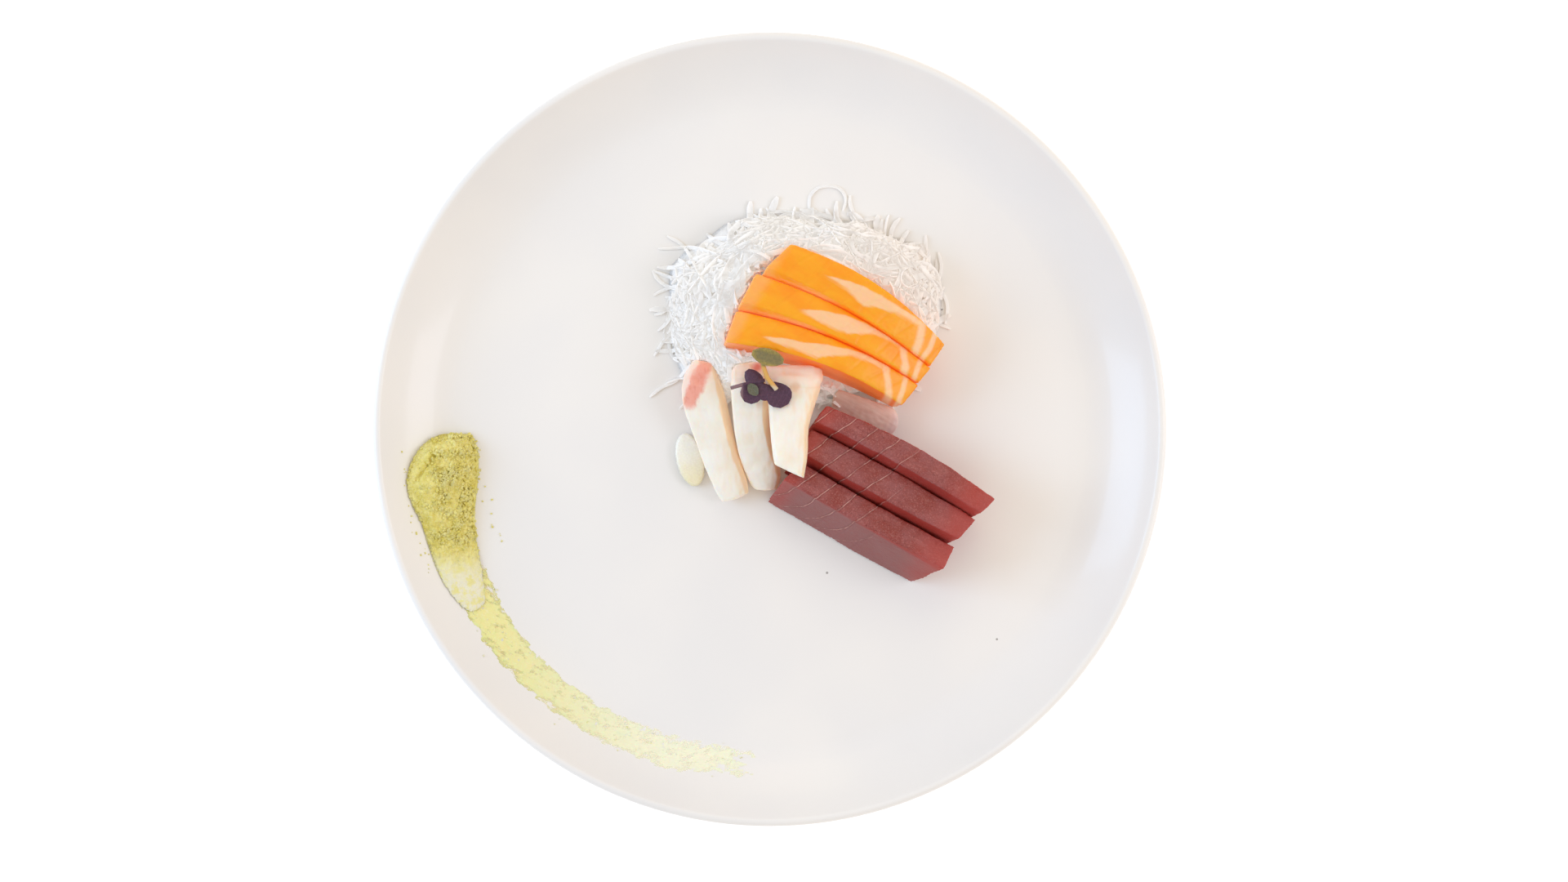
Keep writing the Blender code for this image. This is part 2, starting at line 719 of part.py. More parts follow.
# ---------------------------------------------------------------------------------------- build


clear_scene()
PARTS = new_collection("sashimi_plate")
CUTTERS = new_collection("cutters")

porcelain = make_material("porcelain", (0.86, 0.85, 0.83), 0.2)
salmon_flesh = make_material("salmon", (0.95, 0.36, 0.04), 0.35)
tuna_flesh = make_material("tuna", (0.30, 0.07, 0.06), 0.4)
white_flesh = make_material("white_fish", (0.88, 0.78, 0.66), 0.3)
daikon = make_material("daikon", (0.85, 0.86, 0.84), 0.35)
cucumber = make_material("cucumber", (0.75, 0.80, 0.62), 0.35)
purple_leaf = make_material("purple_leaf", (0.09, 0.04, 0.12), 0.45)
green_leaf = make_material("green_leaf", (0.10, 0.16, 0.04), 0.45)
wasabi_paste = make_material("wasabi", (0.70, 0.62, 0.18), 0.55)

plate = make_plate(porcelain)
salmon = make_slices("salmon", salmon_flesh, SALMON_EDGES, SALMON_ENDS, salmon_heights, SALMON_FORM)
tuna = make_slices("tuna", tuna_flesh, TUNA_EDGES, TUNA_ENDS, tuna_heights, TUNA_FORM)
cucumber_slice = make_cucumber(cucumber)
white_fish = make_white_fish(white_flesh)
ribbon = make_ribbon(daikon)
nest = make_nest(daikon)
wasabi = make_wasabi(wasabi_paste)

# Soft pieces give way to the firmer ones that they lie on.
cut_by(white_fish[0], grown_cutter(cucumber_slice))
tuna_clearances = [grown_cutter(piece) for piece in tuna]
salmon_clearance = grown_cutter(salmon[2])
cut_by(white_fish[2], *tuna_clearances, salmon_clearance)
white_seats = [grown_cutter(white_fish[0]), grown_cutter(white_fish[2])]
cut_by(white_fish[1], tuna_clearances[2], salmon_clearance, *white_seats)
salmon_seat = hull_cutter("salmon_seat", salmon)
fish_seats = [grown_cutter(piece) for piece in white_fish]
cut_by(ribbon, salmon_seat, tuna_clearances[0], fish_seats[2])
cut_by(nest, salmon_seat, *fish_seats, grown_cutter(ribbon), tuna_clearances[0])

purple = make_purple_sprout(purple_leaf)
settle(purple, white_fish)
green = make_green_sprout(green_leaf)
settle(green, [purple, *white_fish, salmon[2]])
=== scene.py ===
# %% [markdown]
# # A sashimi plate
# A round white coupe plate carries a nest of shredded daikon, three slices each of salmon, tuna and
# white fish, a daikon ribbon, a slice of cucumber, two sprouts and a dragged dollop of wasabi.
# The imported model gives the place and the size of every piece. This lesson gives each one the surface
# that the real food has.

# %% Load the frame
import math
import random

import bmesh
import bpy
import numpy as np
from mathutils import Matrix, Vector, noise
from mathutils.bvhtree import BVHTree


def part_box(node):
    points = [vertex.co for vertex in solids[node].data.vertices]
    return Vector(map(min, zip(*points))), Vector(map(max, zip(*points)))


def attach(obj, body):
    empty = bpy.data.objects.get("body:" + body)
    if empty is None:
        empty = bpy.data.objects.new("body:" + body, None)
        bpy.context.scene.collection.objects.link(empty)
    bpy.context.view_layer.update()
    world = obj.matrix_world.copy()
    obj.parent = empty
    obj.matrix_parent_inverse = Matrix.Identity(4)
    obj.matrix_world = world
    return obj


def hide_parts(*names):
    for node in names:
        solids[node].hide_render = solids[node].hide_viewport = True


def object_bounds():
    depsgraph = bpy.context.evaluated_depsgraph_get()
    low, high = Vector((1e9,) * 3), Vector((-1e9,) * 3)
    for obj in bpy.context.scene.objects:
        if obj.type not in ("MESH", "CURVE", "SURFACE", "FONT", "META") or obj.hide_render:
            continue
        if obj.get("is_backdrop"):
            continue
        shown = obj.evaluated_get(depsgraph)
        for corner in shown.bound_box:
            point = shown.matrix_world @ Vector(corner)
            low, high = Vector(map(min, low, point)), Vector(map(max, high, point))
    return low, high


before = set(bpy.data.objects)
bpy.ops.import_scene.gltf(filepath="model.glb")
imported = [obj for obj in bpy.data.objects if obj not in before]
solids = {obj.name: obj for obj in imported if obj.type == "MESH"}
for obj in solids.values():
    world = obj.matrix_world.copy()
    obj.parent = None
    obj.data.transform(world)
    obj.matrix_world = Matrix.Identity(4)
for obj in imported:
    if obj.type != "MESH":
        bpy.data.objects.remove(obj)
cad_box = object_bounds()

MM = 0.001
print("nodes:", ", ".join(sorted(solids)))

# %% [markdown]
# ## The picture
# A dish like this is photographed from straight above, so the camera looks down. It could be an
# orthographic camera. A long lens from nearly three metres is chosen, because it draws the dish almost as
# flat and still treats height as a real lens does.

# %% Camera
LOOKED_AT = (4.9 * MM, -4.0 * MM)
VIEW_WIDTH = 532.8 * MM
LENS = 200.0
SENSOR = 36.0
lip_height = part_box("plate")[1].z

camera_data = bpy.data.cameras.new("camera")
camera_data.lens = LENS
camera_data.sensor_width = SENSOR
camera = bpy.data.objects.new("camera", camera_data)
camera.location = (*LOOKED_AT, lip_height + VIEW_WIDTH * LENS / SENSOR)
bpy.context.scene.collection.objects.link(camera)
bpy.context.scene.camera = camera
print("camera height", round(camera.location.z, 3), "m")

# %% [markdown]
# ## Light
# The shadows on the real dish are soft and short, and cool on one side and warm on the other. So the
# light comes from large sources: a bright warm room all round, low windows at the left and the right that
# are bluer, and a weak lamp behind. The floor is white paper. It glows a little, as paper does that is lit
# from behind, so it stays white round the plate.

# %% Studio
scene = bpy.context.scene
scene.view_settings.view_transform = "Standard"

room = bpy.data.worlds.new("room")
room.use_nodes = True
room_light = room.node_tree.nodes["Background"]
room_light.inputs["Color"].default_value = (1.0, 0.945, 0.877, 1)
room_light.inputs["Strength"].default_value = 0.73
scene.world = room


def panel(name, place, size, watts, colour):
    """A square light panel that faces the dish."""
    data = bpy.data.lights.new(name, "AREA")
    data.shape = "SQUARE"
    data.size = size
    data.energy = watts
    data.color = colour
    light = bpy.data.objects.new(name, data)
    light.location = place
    light.rotation_euler = (-Vector(place)).to_track_quat("-Z", "Y").to_euler()
    scene.collection.objects.link(light)
    return light


panel("right_panel", (1.05, 0.0, 0.8), 0.7, 5.0, (0.825, 0.86, 1.0))
panel("left_panel", (-1.1, 0.1, 0.6), 0.7, 7.8, (0.44, 0.665, 1.0))
panel("back_panel", (0.1, 1.0, 0.8), 0.8, 1.6, (1.0, 0.79, 0.47))
print("panels:", len(bpy.data.lights))

# %% [markdown]
# ## Shader maths that reads like maths
# A finish is a tree of nodes. Written one node at a time it's hard to follow, so one small class wraps a
# socket: `1 - mask` or `height * 0.3` then adds the Math nodes by itself. Colours and vectors go through
# Mix and Vector Math nodes, because a Math node would turn a colour grey.

# %% Sockets as values


class Value:
    """A number, vector or colour that comes out of a node."""

    def __init__(self, tree, socket):
        self.tree = tree
        self.socket = socket

    def maths(self, operation, *values):
        node = self.tree.nodes.new("ShaderNodeMath")
        node.operation = operation
        for socket, value in zip(node.inputs, values):
            if isinstance(value, Value):
                self.tree.links.new(value.socket, socket)
            else:
                socket.default_value = value
        return Value(self.tree, node.outputs[0])

    def __add__(self, other):
        return self.maths("ADD", self, other)

    __radd__ = __add__

    def __sub__(self, other):
        return self.maths("SUBTRACT", self, other)

    def __rsub__(self, other):
        return self.maths("SUBTRACT", other, self)

    def __mul__(self, other):
        return self.maths("MULTIPLY", self, other)

    __rmul__ = __mul__

    def __truediv__(self, other):
        return self.maths("DIVIDE", self, other)

    def __pow__(self, other):
        return self.maths("POWER", self, other)

    def __neg__(self):
        return self.maths("MULTIPLY", self, -1.0)

    def __abs__(self):
        return self.maths("ABSOLUTE", self)

    def or_more(self, other):
        return self.maths("MAXIMUM", self, other)


# %% [markdown]
# ## One maker for every finish
# Every finish ends in a Principled BSDF. `Finish` holds its material and has one method, `node`, for all
# other nodes: it takes the type, the settings and the sockets. The small methods after it name what the
# finishes use most: a place on the object, noise, a smooth step and a mix of two colours.

# %% Finishes


def paint(red, green, blue):
    """A colour as light, from the 0 to 255 values of a colour chart."""
    return tuple(((c / 255 + 0.055) / 1.055) ** 2.4 if c > 10 else c / 3295 for c in (red, green, blue)) + (1,)


class Finish:
    def __init__(self, name, **looks):
        self.material = bpy.data.materials.new(name)
        self.material.use_nodes = True
        self.tree = self.material.node_tree
        self.shader = self.tree.nodes["Principled BSDF"]
        for socket, value in looks.items():
            self.shader.inputs[socket.replace("_", " ")].default_value = value

    def node(self, kind, settings=None, sockets=None, out=0):
        node = self.tree.nodes.new(kind)
        for key, value in (settings or {}).items():
            if key == "stops":
                ramp = node.color_ramp
                while len(ramp.elements) < len(value):
                    ramp.elements.new(0.5)
                for element, (position, colour) in zip(ramp.elements, value):
                    element.position = position
                    element.color = colour
            else:
                setattr(node, key, value)
        for key, value in (sockets or {}).items():
            if isinstance(value, Value):
                self.tree.links.new(value.socket, node.inputs[key])
            else:
                node.inputs[key].default_value = value
        return Value(self.tree, node.outputs[out])

    def place(self):
        """Where the surface point is, in millimetres."""
        spot = self.node("ShaderNodeTexCoord", out="Object")
        return self.node("ShaderNodeVectorMath", {"operation": "SCALE"}, {0: spot, "Scale": 1 / MM})

    def dot(self, vector, direction):
        return self.node("ShaderNodeVectorMath", {"operation": "DOT_PRODUCT"}, {0: vector, 1: direction}, "Value")

    def stretch(self, vector, factors):
        return self.node("ShaderNodeVectorMath", {"operation": "MULTIPLY"}, {0: vector, 1: factors})

    def vector(self, x, y, z=0.0):
        return self.node("ShaderNodeCombineXYZ", None, {"X": x, "Y": y, "Z": z})

    def noise(self, vector, size, detail=3.0, roughness=0.55, distortion=0.0):
        """Noise from 0 to 1 whose lumps are about that many millimetres across."""
        sockets = {
            "Vector": vector,
            "Scale": 1 / size,
            "Detail": detail,
            "Roughness": roughness,
            "Distortion": distortion,
        }
        return self.node("ShaderNodeTexNoise", None, sockets, "Fac")

    def step(self, value, low, high):
        """Climbs smoothly from 0 at low to 1 at high."""
        sockets = {"Value": value, "From Min": low, "From Max": high}
        return self.node("ShaderNodeMapRange", {"interpolation_type": "SMOOTHSTEP"}, sockets)

    def curve(self, value, points):
        """A line through points (value, result), by straight pieces."""
        xs = [x for x, _ in points]
        ys = [y for _, y in points]
        low, high = min(ys), max(ys) + 1e-6
        stops = [((x - xs[0]) / (xs[-1] - xs[0]), ((y - low) / (high - low),) * 3 + (1,)) for x, y in points]
        share = (value - xs[0]) / (xs[-1] - xs[0])
        grey = self.node("ShaderNodeValToRGB", {"stops": stops}, {"Fac": share})
        return grey * (high - low) + low

    def mix(self, factor, first, second):
        return self.node("ShaderNodeMix", {"data_type": "RGBA"}, {0: factor, 6: first, 7: second}, 2)

    def bump(self, height, depth):
        """Relief finer than the mesh. depth is in millimetres."""
        sockets = {"Height": height, "Distance": depth * MM, "Strength": 1.0}
        return self.node("ShaderNodeBump", None, sockets)

    def feed(self, **links):
        for socket, value in links.items():
            self.tree.links.new(value.socket, self.shader.inputs[socket.replace("_", " ")])
        return self.material


print("warm white as light:", [round(c, 3) for c in paint(241, 237, 232)])

# %% [markdown]
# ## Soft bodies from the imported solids
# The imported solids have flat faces. Cut food has small uneven faces and slightly rounded edges. It could
# be sculpted again by hand, but then it might leave its place. So each solid is copied, rebuilt as a fine
# even mesh by a voxel remesh, smoothed, and then moved in or out by a formula of its own.

# %% From a solid to a soft body


def put(piece, slot, *nodes):
    """The piece rides on the dish and stands for these nodes, which it hides. The slot is not used."""
    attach(piece, "root")
    if nodes:
        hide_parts(*nodes)
    return piece


def joined_mesh(node):
    """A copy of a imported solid's mesh, with its split corners merged."""
    form = bmesh.new()
    form.from_mesh(solids[node].data)
    bmesh.ops.remove_doubles(form, verts=form.verts, dist=0.002 * MM)
    mesh = bpy.data.meshes.new(node + "_form")
    form.to_mesh(mesh)
    form.free()
    return mesh


def applied(piece):
    """Turns the piece's modifiers into its mesh."""
    bpy.context.view_layer.update()
    seen = piece.evaluated_get(bpy.context.evaluated_depsgraph_get())
    mesh = bpy.data.meshes.new_from_object(seen)
    piece.modifiers.clear()
    piece.data = mesh
    return piece


def soft_body(name, mesh, grain, rounds):
    """The mesh rebuilt from even faces of that size, and smoothed that many times."""
    piece = bpy.data.objects.new(name, mesh)
    scene.collection.objects.link(piece)
    remesh = piece.modifiers.new("even", "REMESH")
    remesh.mode = "VOXEL"
    remesh.voxel_size = grain
    remesh.use_smooth_shade = True
    smooth = piece.modifiers.new("smooth", "SMOOTH")
    smooth.factor = 0.5
    smooth.iterations = rounds
    return applied(piece)


def relief(piece, depth):
    """Moves each point along its normal by depth(place), both in millimetres."""
    mesh = piece.data
    count = len(mesh.vertices)
    places = np.zeros(count * 3)
    normals = np.zeros(count * 3)
    mesh.vertices.foreach_get("co", places)
    mesh.vertex_normals.foreach_get("vector", normals)
    places, normals = places.reshape(-1, 3), normals.reshape(-1, 3)
    depths = np.array([depth(Vector(p) / MM, Vector(n)) for p, n in zip(places, normals)])
    mesh.vertices.foreach_set("co", (places + normals * depths[:, None] * MM).ravel())
    mesh.update()
    return piece


def finish_with(piece, material):
    piece.data.materials.clear()
    piece.data.materials.append(material)
    return piece


def triangles(piece):
    return sum(len(face.vertices) - 2 for face in piece.data.polygons)


# %% [markdown]
# ## The plate
# The plate is thrown stoneware or porcelain: a flat well, a side that curls up to a thin rounded lip, and
# a low foot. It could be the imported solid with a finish, but its 64 sides show at the lip. So the same
# profile is turned again, with many more steps.

# %% Plate shape
lip_radius = 1.6 * MM
plate_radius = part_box("plate")[1].x
well_face, underside = 7.5 * MM, 3.0 * MM
well_radius, belly_radius = 108 * MM, 105 * MM
climb_power = 1.7


def climb(start, low, end, high, steps=28):
    points = []
    for step in range(steps + 1):
        share = step / steps
        points.append((start + (end - start) * share, low + (high - low) * share**climb_power))
    return points


lip_x, lip_z = plate_radius - lip_radius, lip_height - lip_radius
corner = lip_radius * math.sin(math.radians(45))
upper_curve = climb(well_radius, well_face, lip_x - corner, lip_z + corner)
lower_curve = climb(belly_radius, underside, lip_x + corner, lip_z - corner)


def face_height(radius):
    """Height of the plate's upper face at a distance from its axis."""
    if radius <= well_radius:
        return well_face
    share = min(1.0, (radius - well_radius) / (upper_curve[-1][0] - well_radius))
    return well_face + (upper_curve[-1][1] - well_face) * share**climb_power


def turned_plate():
    lip = []
    for degrees in range(123, -35, -12):
        angle = math.radians(degrees)
        lip.append((lip_x + lip_radius * math.cos(angle), lip_z + lip_radius * math.sin(angle)))
    foot = [(83.6, 3.0), (83.0, 2.2), (82.4, 0.6), (81.7, 0.0), (78.3, 0.0), (77.6, 0.6), (77.0, 2.2), (76.4, 3.0)]
    well = [(0, well_face)] + [(r * MM, well_face) for r in (30, 60, 85, 100)]
    sole = [(r * MM, underside) for r in (60, 30, 0)]
    outline = well + upper_curve + lip + lower_curve[::-1] + [(r * MM, z * MM) for r, z in foot] + sole
    mesh = bpy.data.meshes.new("plate")
    mesh.from_pydata([(r, 0, z) for r, z in outline], [(i, i + 1) for i in range(len(outline) - 1)], [])
    piece = bpy.data.objects.new("coupe_plate", mesh)
    scene.collection.objects.link(piece)
    turn = piece.modifiers.new("turned", "SCREW")
    turn.steps = 192
    turn.render_steps = 192
    turn.use_merge_vertices = True
    turn.merge_threshold = 0.005 * MM
    turn.use_smooth_shade = True
    return applied(piece)


coupe_plate = turned_plate()
print("plate:", triangles(coupe_plate), "triangles")

# %% [markdown]
# ## The glaze
# White glaze is never one white. It is warmer where it lies thick, it has faint clouds and a few tiny
# dark specks, and the foot is left bare so that it doesn't stick in the kiln. Clear coat over a slightly
# rougher body gives the soft double gloss.

# %% Glaze
# Place and radius of each speck, in millimetres
SPECKS = (((-35.4, 127.8, 19.0), 0.5), ((19.6, -49.0, 7.5), 0.55), ((77.6, -71.7, 7.5), 0.5))


def glaze():
    look = Finish("glaze", Roughness=0.35, Coat_Weight=0.3, Coat_Roughness=0.12, Specular_IOR_Level=0.35)
    spot = look.place()
    clouds = look.noise(spot, 60, 2)
    body = look.mix(look.step(clouds, 0.3, 0.7), paint(238, 235, 231), paint(243, 239, 233))
    speckled = body
    for place, size in SPECKS:
        away = look.node("ShaderNodeVectorMath", {"operation": "DISTANCE"}, {0: spot, 1: place}, "Value")
        speckled = look.mix(look.step(away, size, size * 0.5) * 0.7, speckled, paint(120, 110, 100))
    height = look.dot(spot, (0, 0, 1))
    bare = look.step(height, 0.5, 0.25)
    colour = look.mix(bare, speckled, paint(224, 214, 200))
    ripple = look.noise(spot, 9, 2)
    return look.feed(
        Base_Color=colour,
        Roughness=0.33 + bare * 0.4 + clouds * 0.06,
        Normal=look.bump(ripple, 0.02),
    )


finish_with(coupe_plate, glaze())
put(coupe_plate, "porcelain", "plate")
print("glaze nodes:", len(coupe_plate.data.materials[0].node_tree.nodes))

# %% [markdown]
# ## Which way the fish lies
# All six slices of salmon and tuna lie in one direction, turned a little from the edge of the table. Their
# marks run along and across that direction, so each finish turns its place into those two distances.

# %% Along and across the sliced fish
HEADING = math.radians(-30.2)
ALONG = (math.cos(HEADING), math.sin(HEADING), 0.0)
ACROSS = (math.sin(HEADING), -math.cos(HEADING), 0.0)


def along_across(place):
    """How far a place in millimetres is along the slices and across them."""
    return place.dot(Vector(ALONG)), place.dot(Vector(ACROSS))


def slice_place(along, across):
    """The place on the table, in millimetres, that is that far along and across the slices."""
    return Vector(ALONG) * along + Vector(ACROSS) * across


print("heading", round(math.degrees(HEADING), 1), "degrees")

# %% [markdown]
# ## Salmon
# Each slice of salmon has a wide pale band of fat that starts thin at its front edge, runs to the right
# tip and turns sharply down across the slice, and a second thin band behind the tip. The bands could be
# painted on an image, but formulas stay sharp from close by. Each edge of a band is a line through a few
# points, given along and across the slice.

# %% Fat bands of the salmon
# For each slice: upper edge of the long band, lower edge, middle of the turned band, middle of the tip band
SALMON_BANDS = (
    (
        ((-12, -54.0), (-6, -55.8), (2, -57.8), (10, -58.3), (19, -57.9), (27, -57.6)),
        ((-12, -54.0), (-1, -53.6), (6.5, -51.9), (10, -53.3), (17, -55.3), (27, -55.4)),
        ((-57.5, 26.6), (-52.5, 28.6), (-46.5, 29.8)),
        ((-57.0, 32.2), (-51.0, 33.2), (-46.0, 32.7)),
    ),
    (
        ((-13, -39.9), (-5, -43.6), (3, -46.4), (10.5, -47.5), (18.5, -48.1), (26, -48.1)),
        ((-13, -39.9), (-4.5, -39.7), (6.5, -40.6), (10, -43.2), (15, -45.8), (26, -46.2)),
        ((-48.2, 24.4), (-44.5, 26.8), (-42.0, 29.0), (-37.5, 30.2)),
        ((-46.0, 32.6), (-42.0, 33.3), (-38.0, 34.0)),
    ),
    (
        ((-20, -25.2), (-13, -28.5), (-6, -31.0), (2, -34.3), (9, -36.6), (16, -38.4), (24, -39.2)),
        ((-20, -25.2), (-12, -26.4), (-4, -27.8), (2, -28.4), (5, -31.5), (11.7, -35.3), (24, -37.3)),
        ((-39.2, 23.0), (-37.0, 24.2), (-34.0, 26.7), (-30.0, 29.4)),
        ((-38.0, 31.3), (-35.0, 32.2), (-30.0, 33.2)),
    ),
)


def salmon_finish(number, bands):
    """Orange flesh with pale bands. The upright sides carry painted shade, a redder and darker tone, a paler band
    towards the left end that is partly real margin and partly painted light, and a weak painted glow that stands
    for the light the flesh lets through.
    """
    upper, lower, turned, tip = bands
    look = Finish(
        f"salmon_flesh_{number}",
        Roughness=0.38,
        Subsurface_Weight=0.6,
        Subsurface_Radius=(1.0, 0.35, 0.1),
        Subsurface_Scale=3.5 * MM,
        Specular_IOR_Level=0.35,
        Emission_Strength=0.12,
    )
    spot = look.place()
    wobble = look.noise(spot, 6, 3) - 0.5
    along = look.dot(spot, ALONG) + wobble * 0.9
    across = look.dot(spot, ACROSS) + wobble * 1.1
    height = look.dot(spot, (0, 0, 1))
    strokes = look.noise(look.vector(along * 0.12, across * 1.1), 1.8, 3) - 0.5
    inside = look.step(across + strokes * 0.8 - look.curve(along, upper), -0.3, 0.4)
    inside = inside * look.step(look.curve(along, lower) - across + strokes * 2.6, -0.5, 1.1)
    inside = inside * look.step(along, upper[0][0], upper[0][0] + 5) * look.step(along, upper[-1][0], upper[-1][0] - 0.8)
    fibre = look.noise(look.vector(along * 0.15, across * 1.2, height * 1.2), 1.6, 3)
    turn = look.step(abs(along - look.curve(across, turned) + strokes * 0.8), 2.1, 0.6)
    turn = turn * look.step(across, turned[0][0] - 0.3, turned[0][0] + 0.6)
    tips = look.step(abs(along - look.curve(across, tip)), 1.4, 0.4)
    fat = inside.or_more(turn).or_more(tips) * (0.82 + fibre * 0.25)
    front = look.node("ShaderNodeNewGeometry", out="Normal")
    upright = look.step(look.dot(front, (0, 0, 1)), 0.75, 0.35)
    depth = look.noise(look.vector(along * 0.35, across), 5, 2)
    flesh = look.mix(look.step(depth, 0.35, 0.7), paint(255, 172, 26), paint(255, 158, 20))
    flesh = look.mix(look.step(along, 8, 34) * 0.5, flesh, paint(255, 170, 54))
    in_front = number == len(SALMON_BANDS)
    # Painted shade: the upright sides are painted a darker red, the front slice's most.
    flesh = look.mix(upright * (0.85 if in_front else 0.4), flesh, paint(250, 104, 22))
    # Partly a real pale margin, partly painted light: the upright sides towards the left end are painted paler,
    # most on the back slices, which lightens the shaded slots between them.
    side_margin_and_painted_light = upright * look.step(along + wobble * 3, 3, -9)
    flesh = look.mix(side_margin_and_painted_light * (0.3 if in_front else 0.8), flesh, paint(255, 190, 128))
    margin = look.step(along + wobble * 2, -23.5, -27.5)
    flesh = look.mix(margin * 0.5, flesh, paint(255, 186, 120))
    colour = look.mix(fat * 0.95, flesh, paint(255, 206, 160))
    # Painted light: a weak orange glow on the upright sides, which lifts the shade in the slots between the
    # slices.
    painted_glow = look.mix(upright, (0, 0, 0, 1), paint(255, 130, 40))
    nicks = look.noise(look.vector(along * 0.25, across * 2.5), 1.4, 4)
    return look.feed(
        Base_Color=colour,
        Emission_Color=painted_glow,
        Roughness=0.30 + fibre * 0.16,
        Normal=look.bump(fibre * 0.6 + nicks * 0.4 + fat * 0.25, 0.12),
    )


print("bands on", len(SALMON_BANDS), "slices")

# %% [markdown]
# A slice of salmon isn't flat. The flesh parts a little along its fat bands and small fibres stand up where
# the knife went through. The body gets that unevenness as real relief: slow swells, shallow grooves that
# cross the slice, and a fine grain.

# %% Salmon slices


def salmon_relief(place, normal):
    along, across = along_across(place)
    swell = 0.35 * noise.noise(place / 9)
    groove = -0.22 * max(0, math.sin(along * 0.9 + 0.35 * across + 2 * noise.noise(place / 8))) ** 6
    grain = 0.08 * noise.noise(place / 1.1)
    fuller_side = 0.3 * max(0, 1 - 1.6 * abs(normal.z))
    return (swell + groove) * abs(normal.z) + grain + fuller_side - 0.1


for number, bands in enumerate(SALMON_BANDS, 1):
    node = f"salmon_slice_{number}"
    salmon = soft_body(f"salmon_{number}", joined_mesh(node), 0.45 * MM, 2)
    relief(salmon, salmon_relief)
    finish_with(salmon, salmon_finish(number, bands))
    put(salmon, "salmon", node)
    print(salmon.name, triangles(salmon), "triangles")

# %% [markdown]
# ## Tuna
# Tuna is lean, so its flesh is an even dark red with a fine granular cut face. Thin pale sinews cross the
# top of each slice at a slant, and curve down its front face like the rings of a tree. They are drawn by
# one wave: its lines run at a slant on top and bend as they go down.

# %% Tuna finish
SINEW_SLANT = 0.45  # how far along a sinew moves back for each millimetre across
SINEW_SPACING = 7.8


def tuna_finish():
    look = Finish(
        "tuna_flesh",
        Roughness=0.45,
        Subsurface_Weight=0.35,
        Subsurface_Radius=(1.0, 0.22, 0.16),
        Subsurface_Scale=2.0 * MM,
        Specular_IOR_Level=0.35,
    )
    spot = look.place()
    wobble = look.noise(spot, 9, 2) - 0.5
    along = look.dot(spot, ALONG)
    across = look.dot(spot, ACROSS)
    height = look.dot(spot, (0, 0, 1))
    front = look.node("ShaderNodeNewGeometry", out="Normal")
    upright = look.step(look.dot(front, (0, 0, 1)), 0.72, 0.45)
    last_face = upright * look.step(across, 12, 13)
    phase = along + across * SINEW_SLANT + wobble * 2.2 + (24 - height) ** 2 * 0.03 * last_face
    rings = look.node("ShaderNodeMath", {"operation": "PINGPONG"}, {0: phase, 1: SINEW_SPACING / 2})
    broken = look.step(look.noise(spot, 2.2, 3), 0.42, 0.58)
    reach_along = look.step(along, 52, 40)
    sinew = look.step(rings, 0.26, 0.04) * reach_along
    shade_line = look.step(rings, 0.75, 0.3) * reach_along
    grain = look.noise(spot, 0.5, 4, 0.75)
    flecks = look.noise(look.stretch(spot, (1.0, 1.0, 0.6)), 1.1, 4, 0.7)
    clouds = look.noise(spot, 8, 3)
    flesh = look.mix(look.step(clouds, 0.3, 0.7), paint(142, 62, 54), paint(150, 84, 82))
    smears = look.noise(look.vector(along * 0.4, across * 1.3), 3.0, 4, 0.6)
    flesh = look.mix(look.step(smears, 0.52, 0.7) * 0.45, flesh, paint(172, 106, 100))
    flesh = look.mix(look.step(grain, 0.5, 0.66) * 0.65, flesh, paint(190, 120, 112))
    flesh = look.mix(look.step(flecks, 0.47, 0.3) * 0.5, flesh, paint(104, 38, 36))
    # Painted shade: the upright sides are painted a deeper red, the colour of the shaded faces between slices.
    flesh = look.mix(upright * 0.75, flesh, paint(168, 50, 38))
    flesh = look.mix(last_face * 0.8, flesh, paint(146, 100, 98))
    ends = look.step(along + wobble * 8, 58, 74).or_more(look.step(along + wobble * 3, 21, 14) * 0.7)
    flesh = look.mix(ends * 0.6, flesh, paint(186, 72, 62))
    flesh = look.mix(shade_line * 0.35, flesh, paint(112, 46, 42))
    colour = look.mix(sinew * (0.25 + broken * 0.5), flesh, paint(222, 172, 160))
    return look.feed(
        Base_Color=colour,
        Roughness=0.42 + grain * 0.2,
        Normal=look.bump(grain * 0.7 - shade_line * 0.5, 0.14),
    )


def tuna_relief(place, normal):
    along, across = along_across(place)
    swell = 0.35 * noise.noise(place / 8)
    turn = 2 * math.pi * (along + SINEW_SLANT * across) / SINEW_SPACING
    sinew = -0.2 * max(0, math.cos(turn + noise.noise(place / 9))) ** 24 if along < 50 else 0
    grain = 0.1 * noise.noise(place / 0.9)
    return swell + sinew + grain - 0.08


tuna_flesh = tuna_finish()
for number in (1, 2, 3):
    node = f"tuna_slice_{number}"
    tuna = soft_body(f"tuna_{number}", joined_mesh(node), 0.55 * MM, 2)
    relief(tuna, tuna_relief)
    finish_with(tuna, tuna_flesh)
    put(tuna, "tuna", node)
    print(tuna.name, triangles(tuna), "triangles")
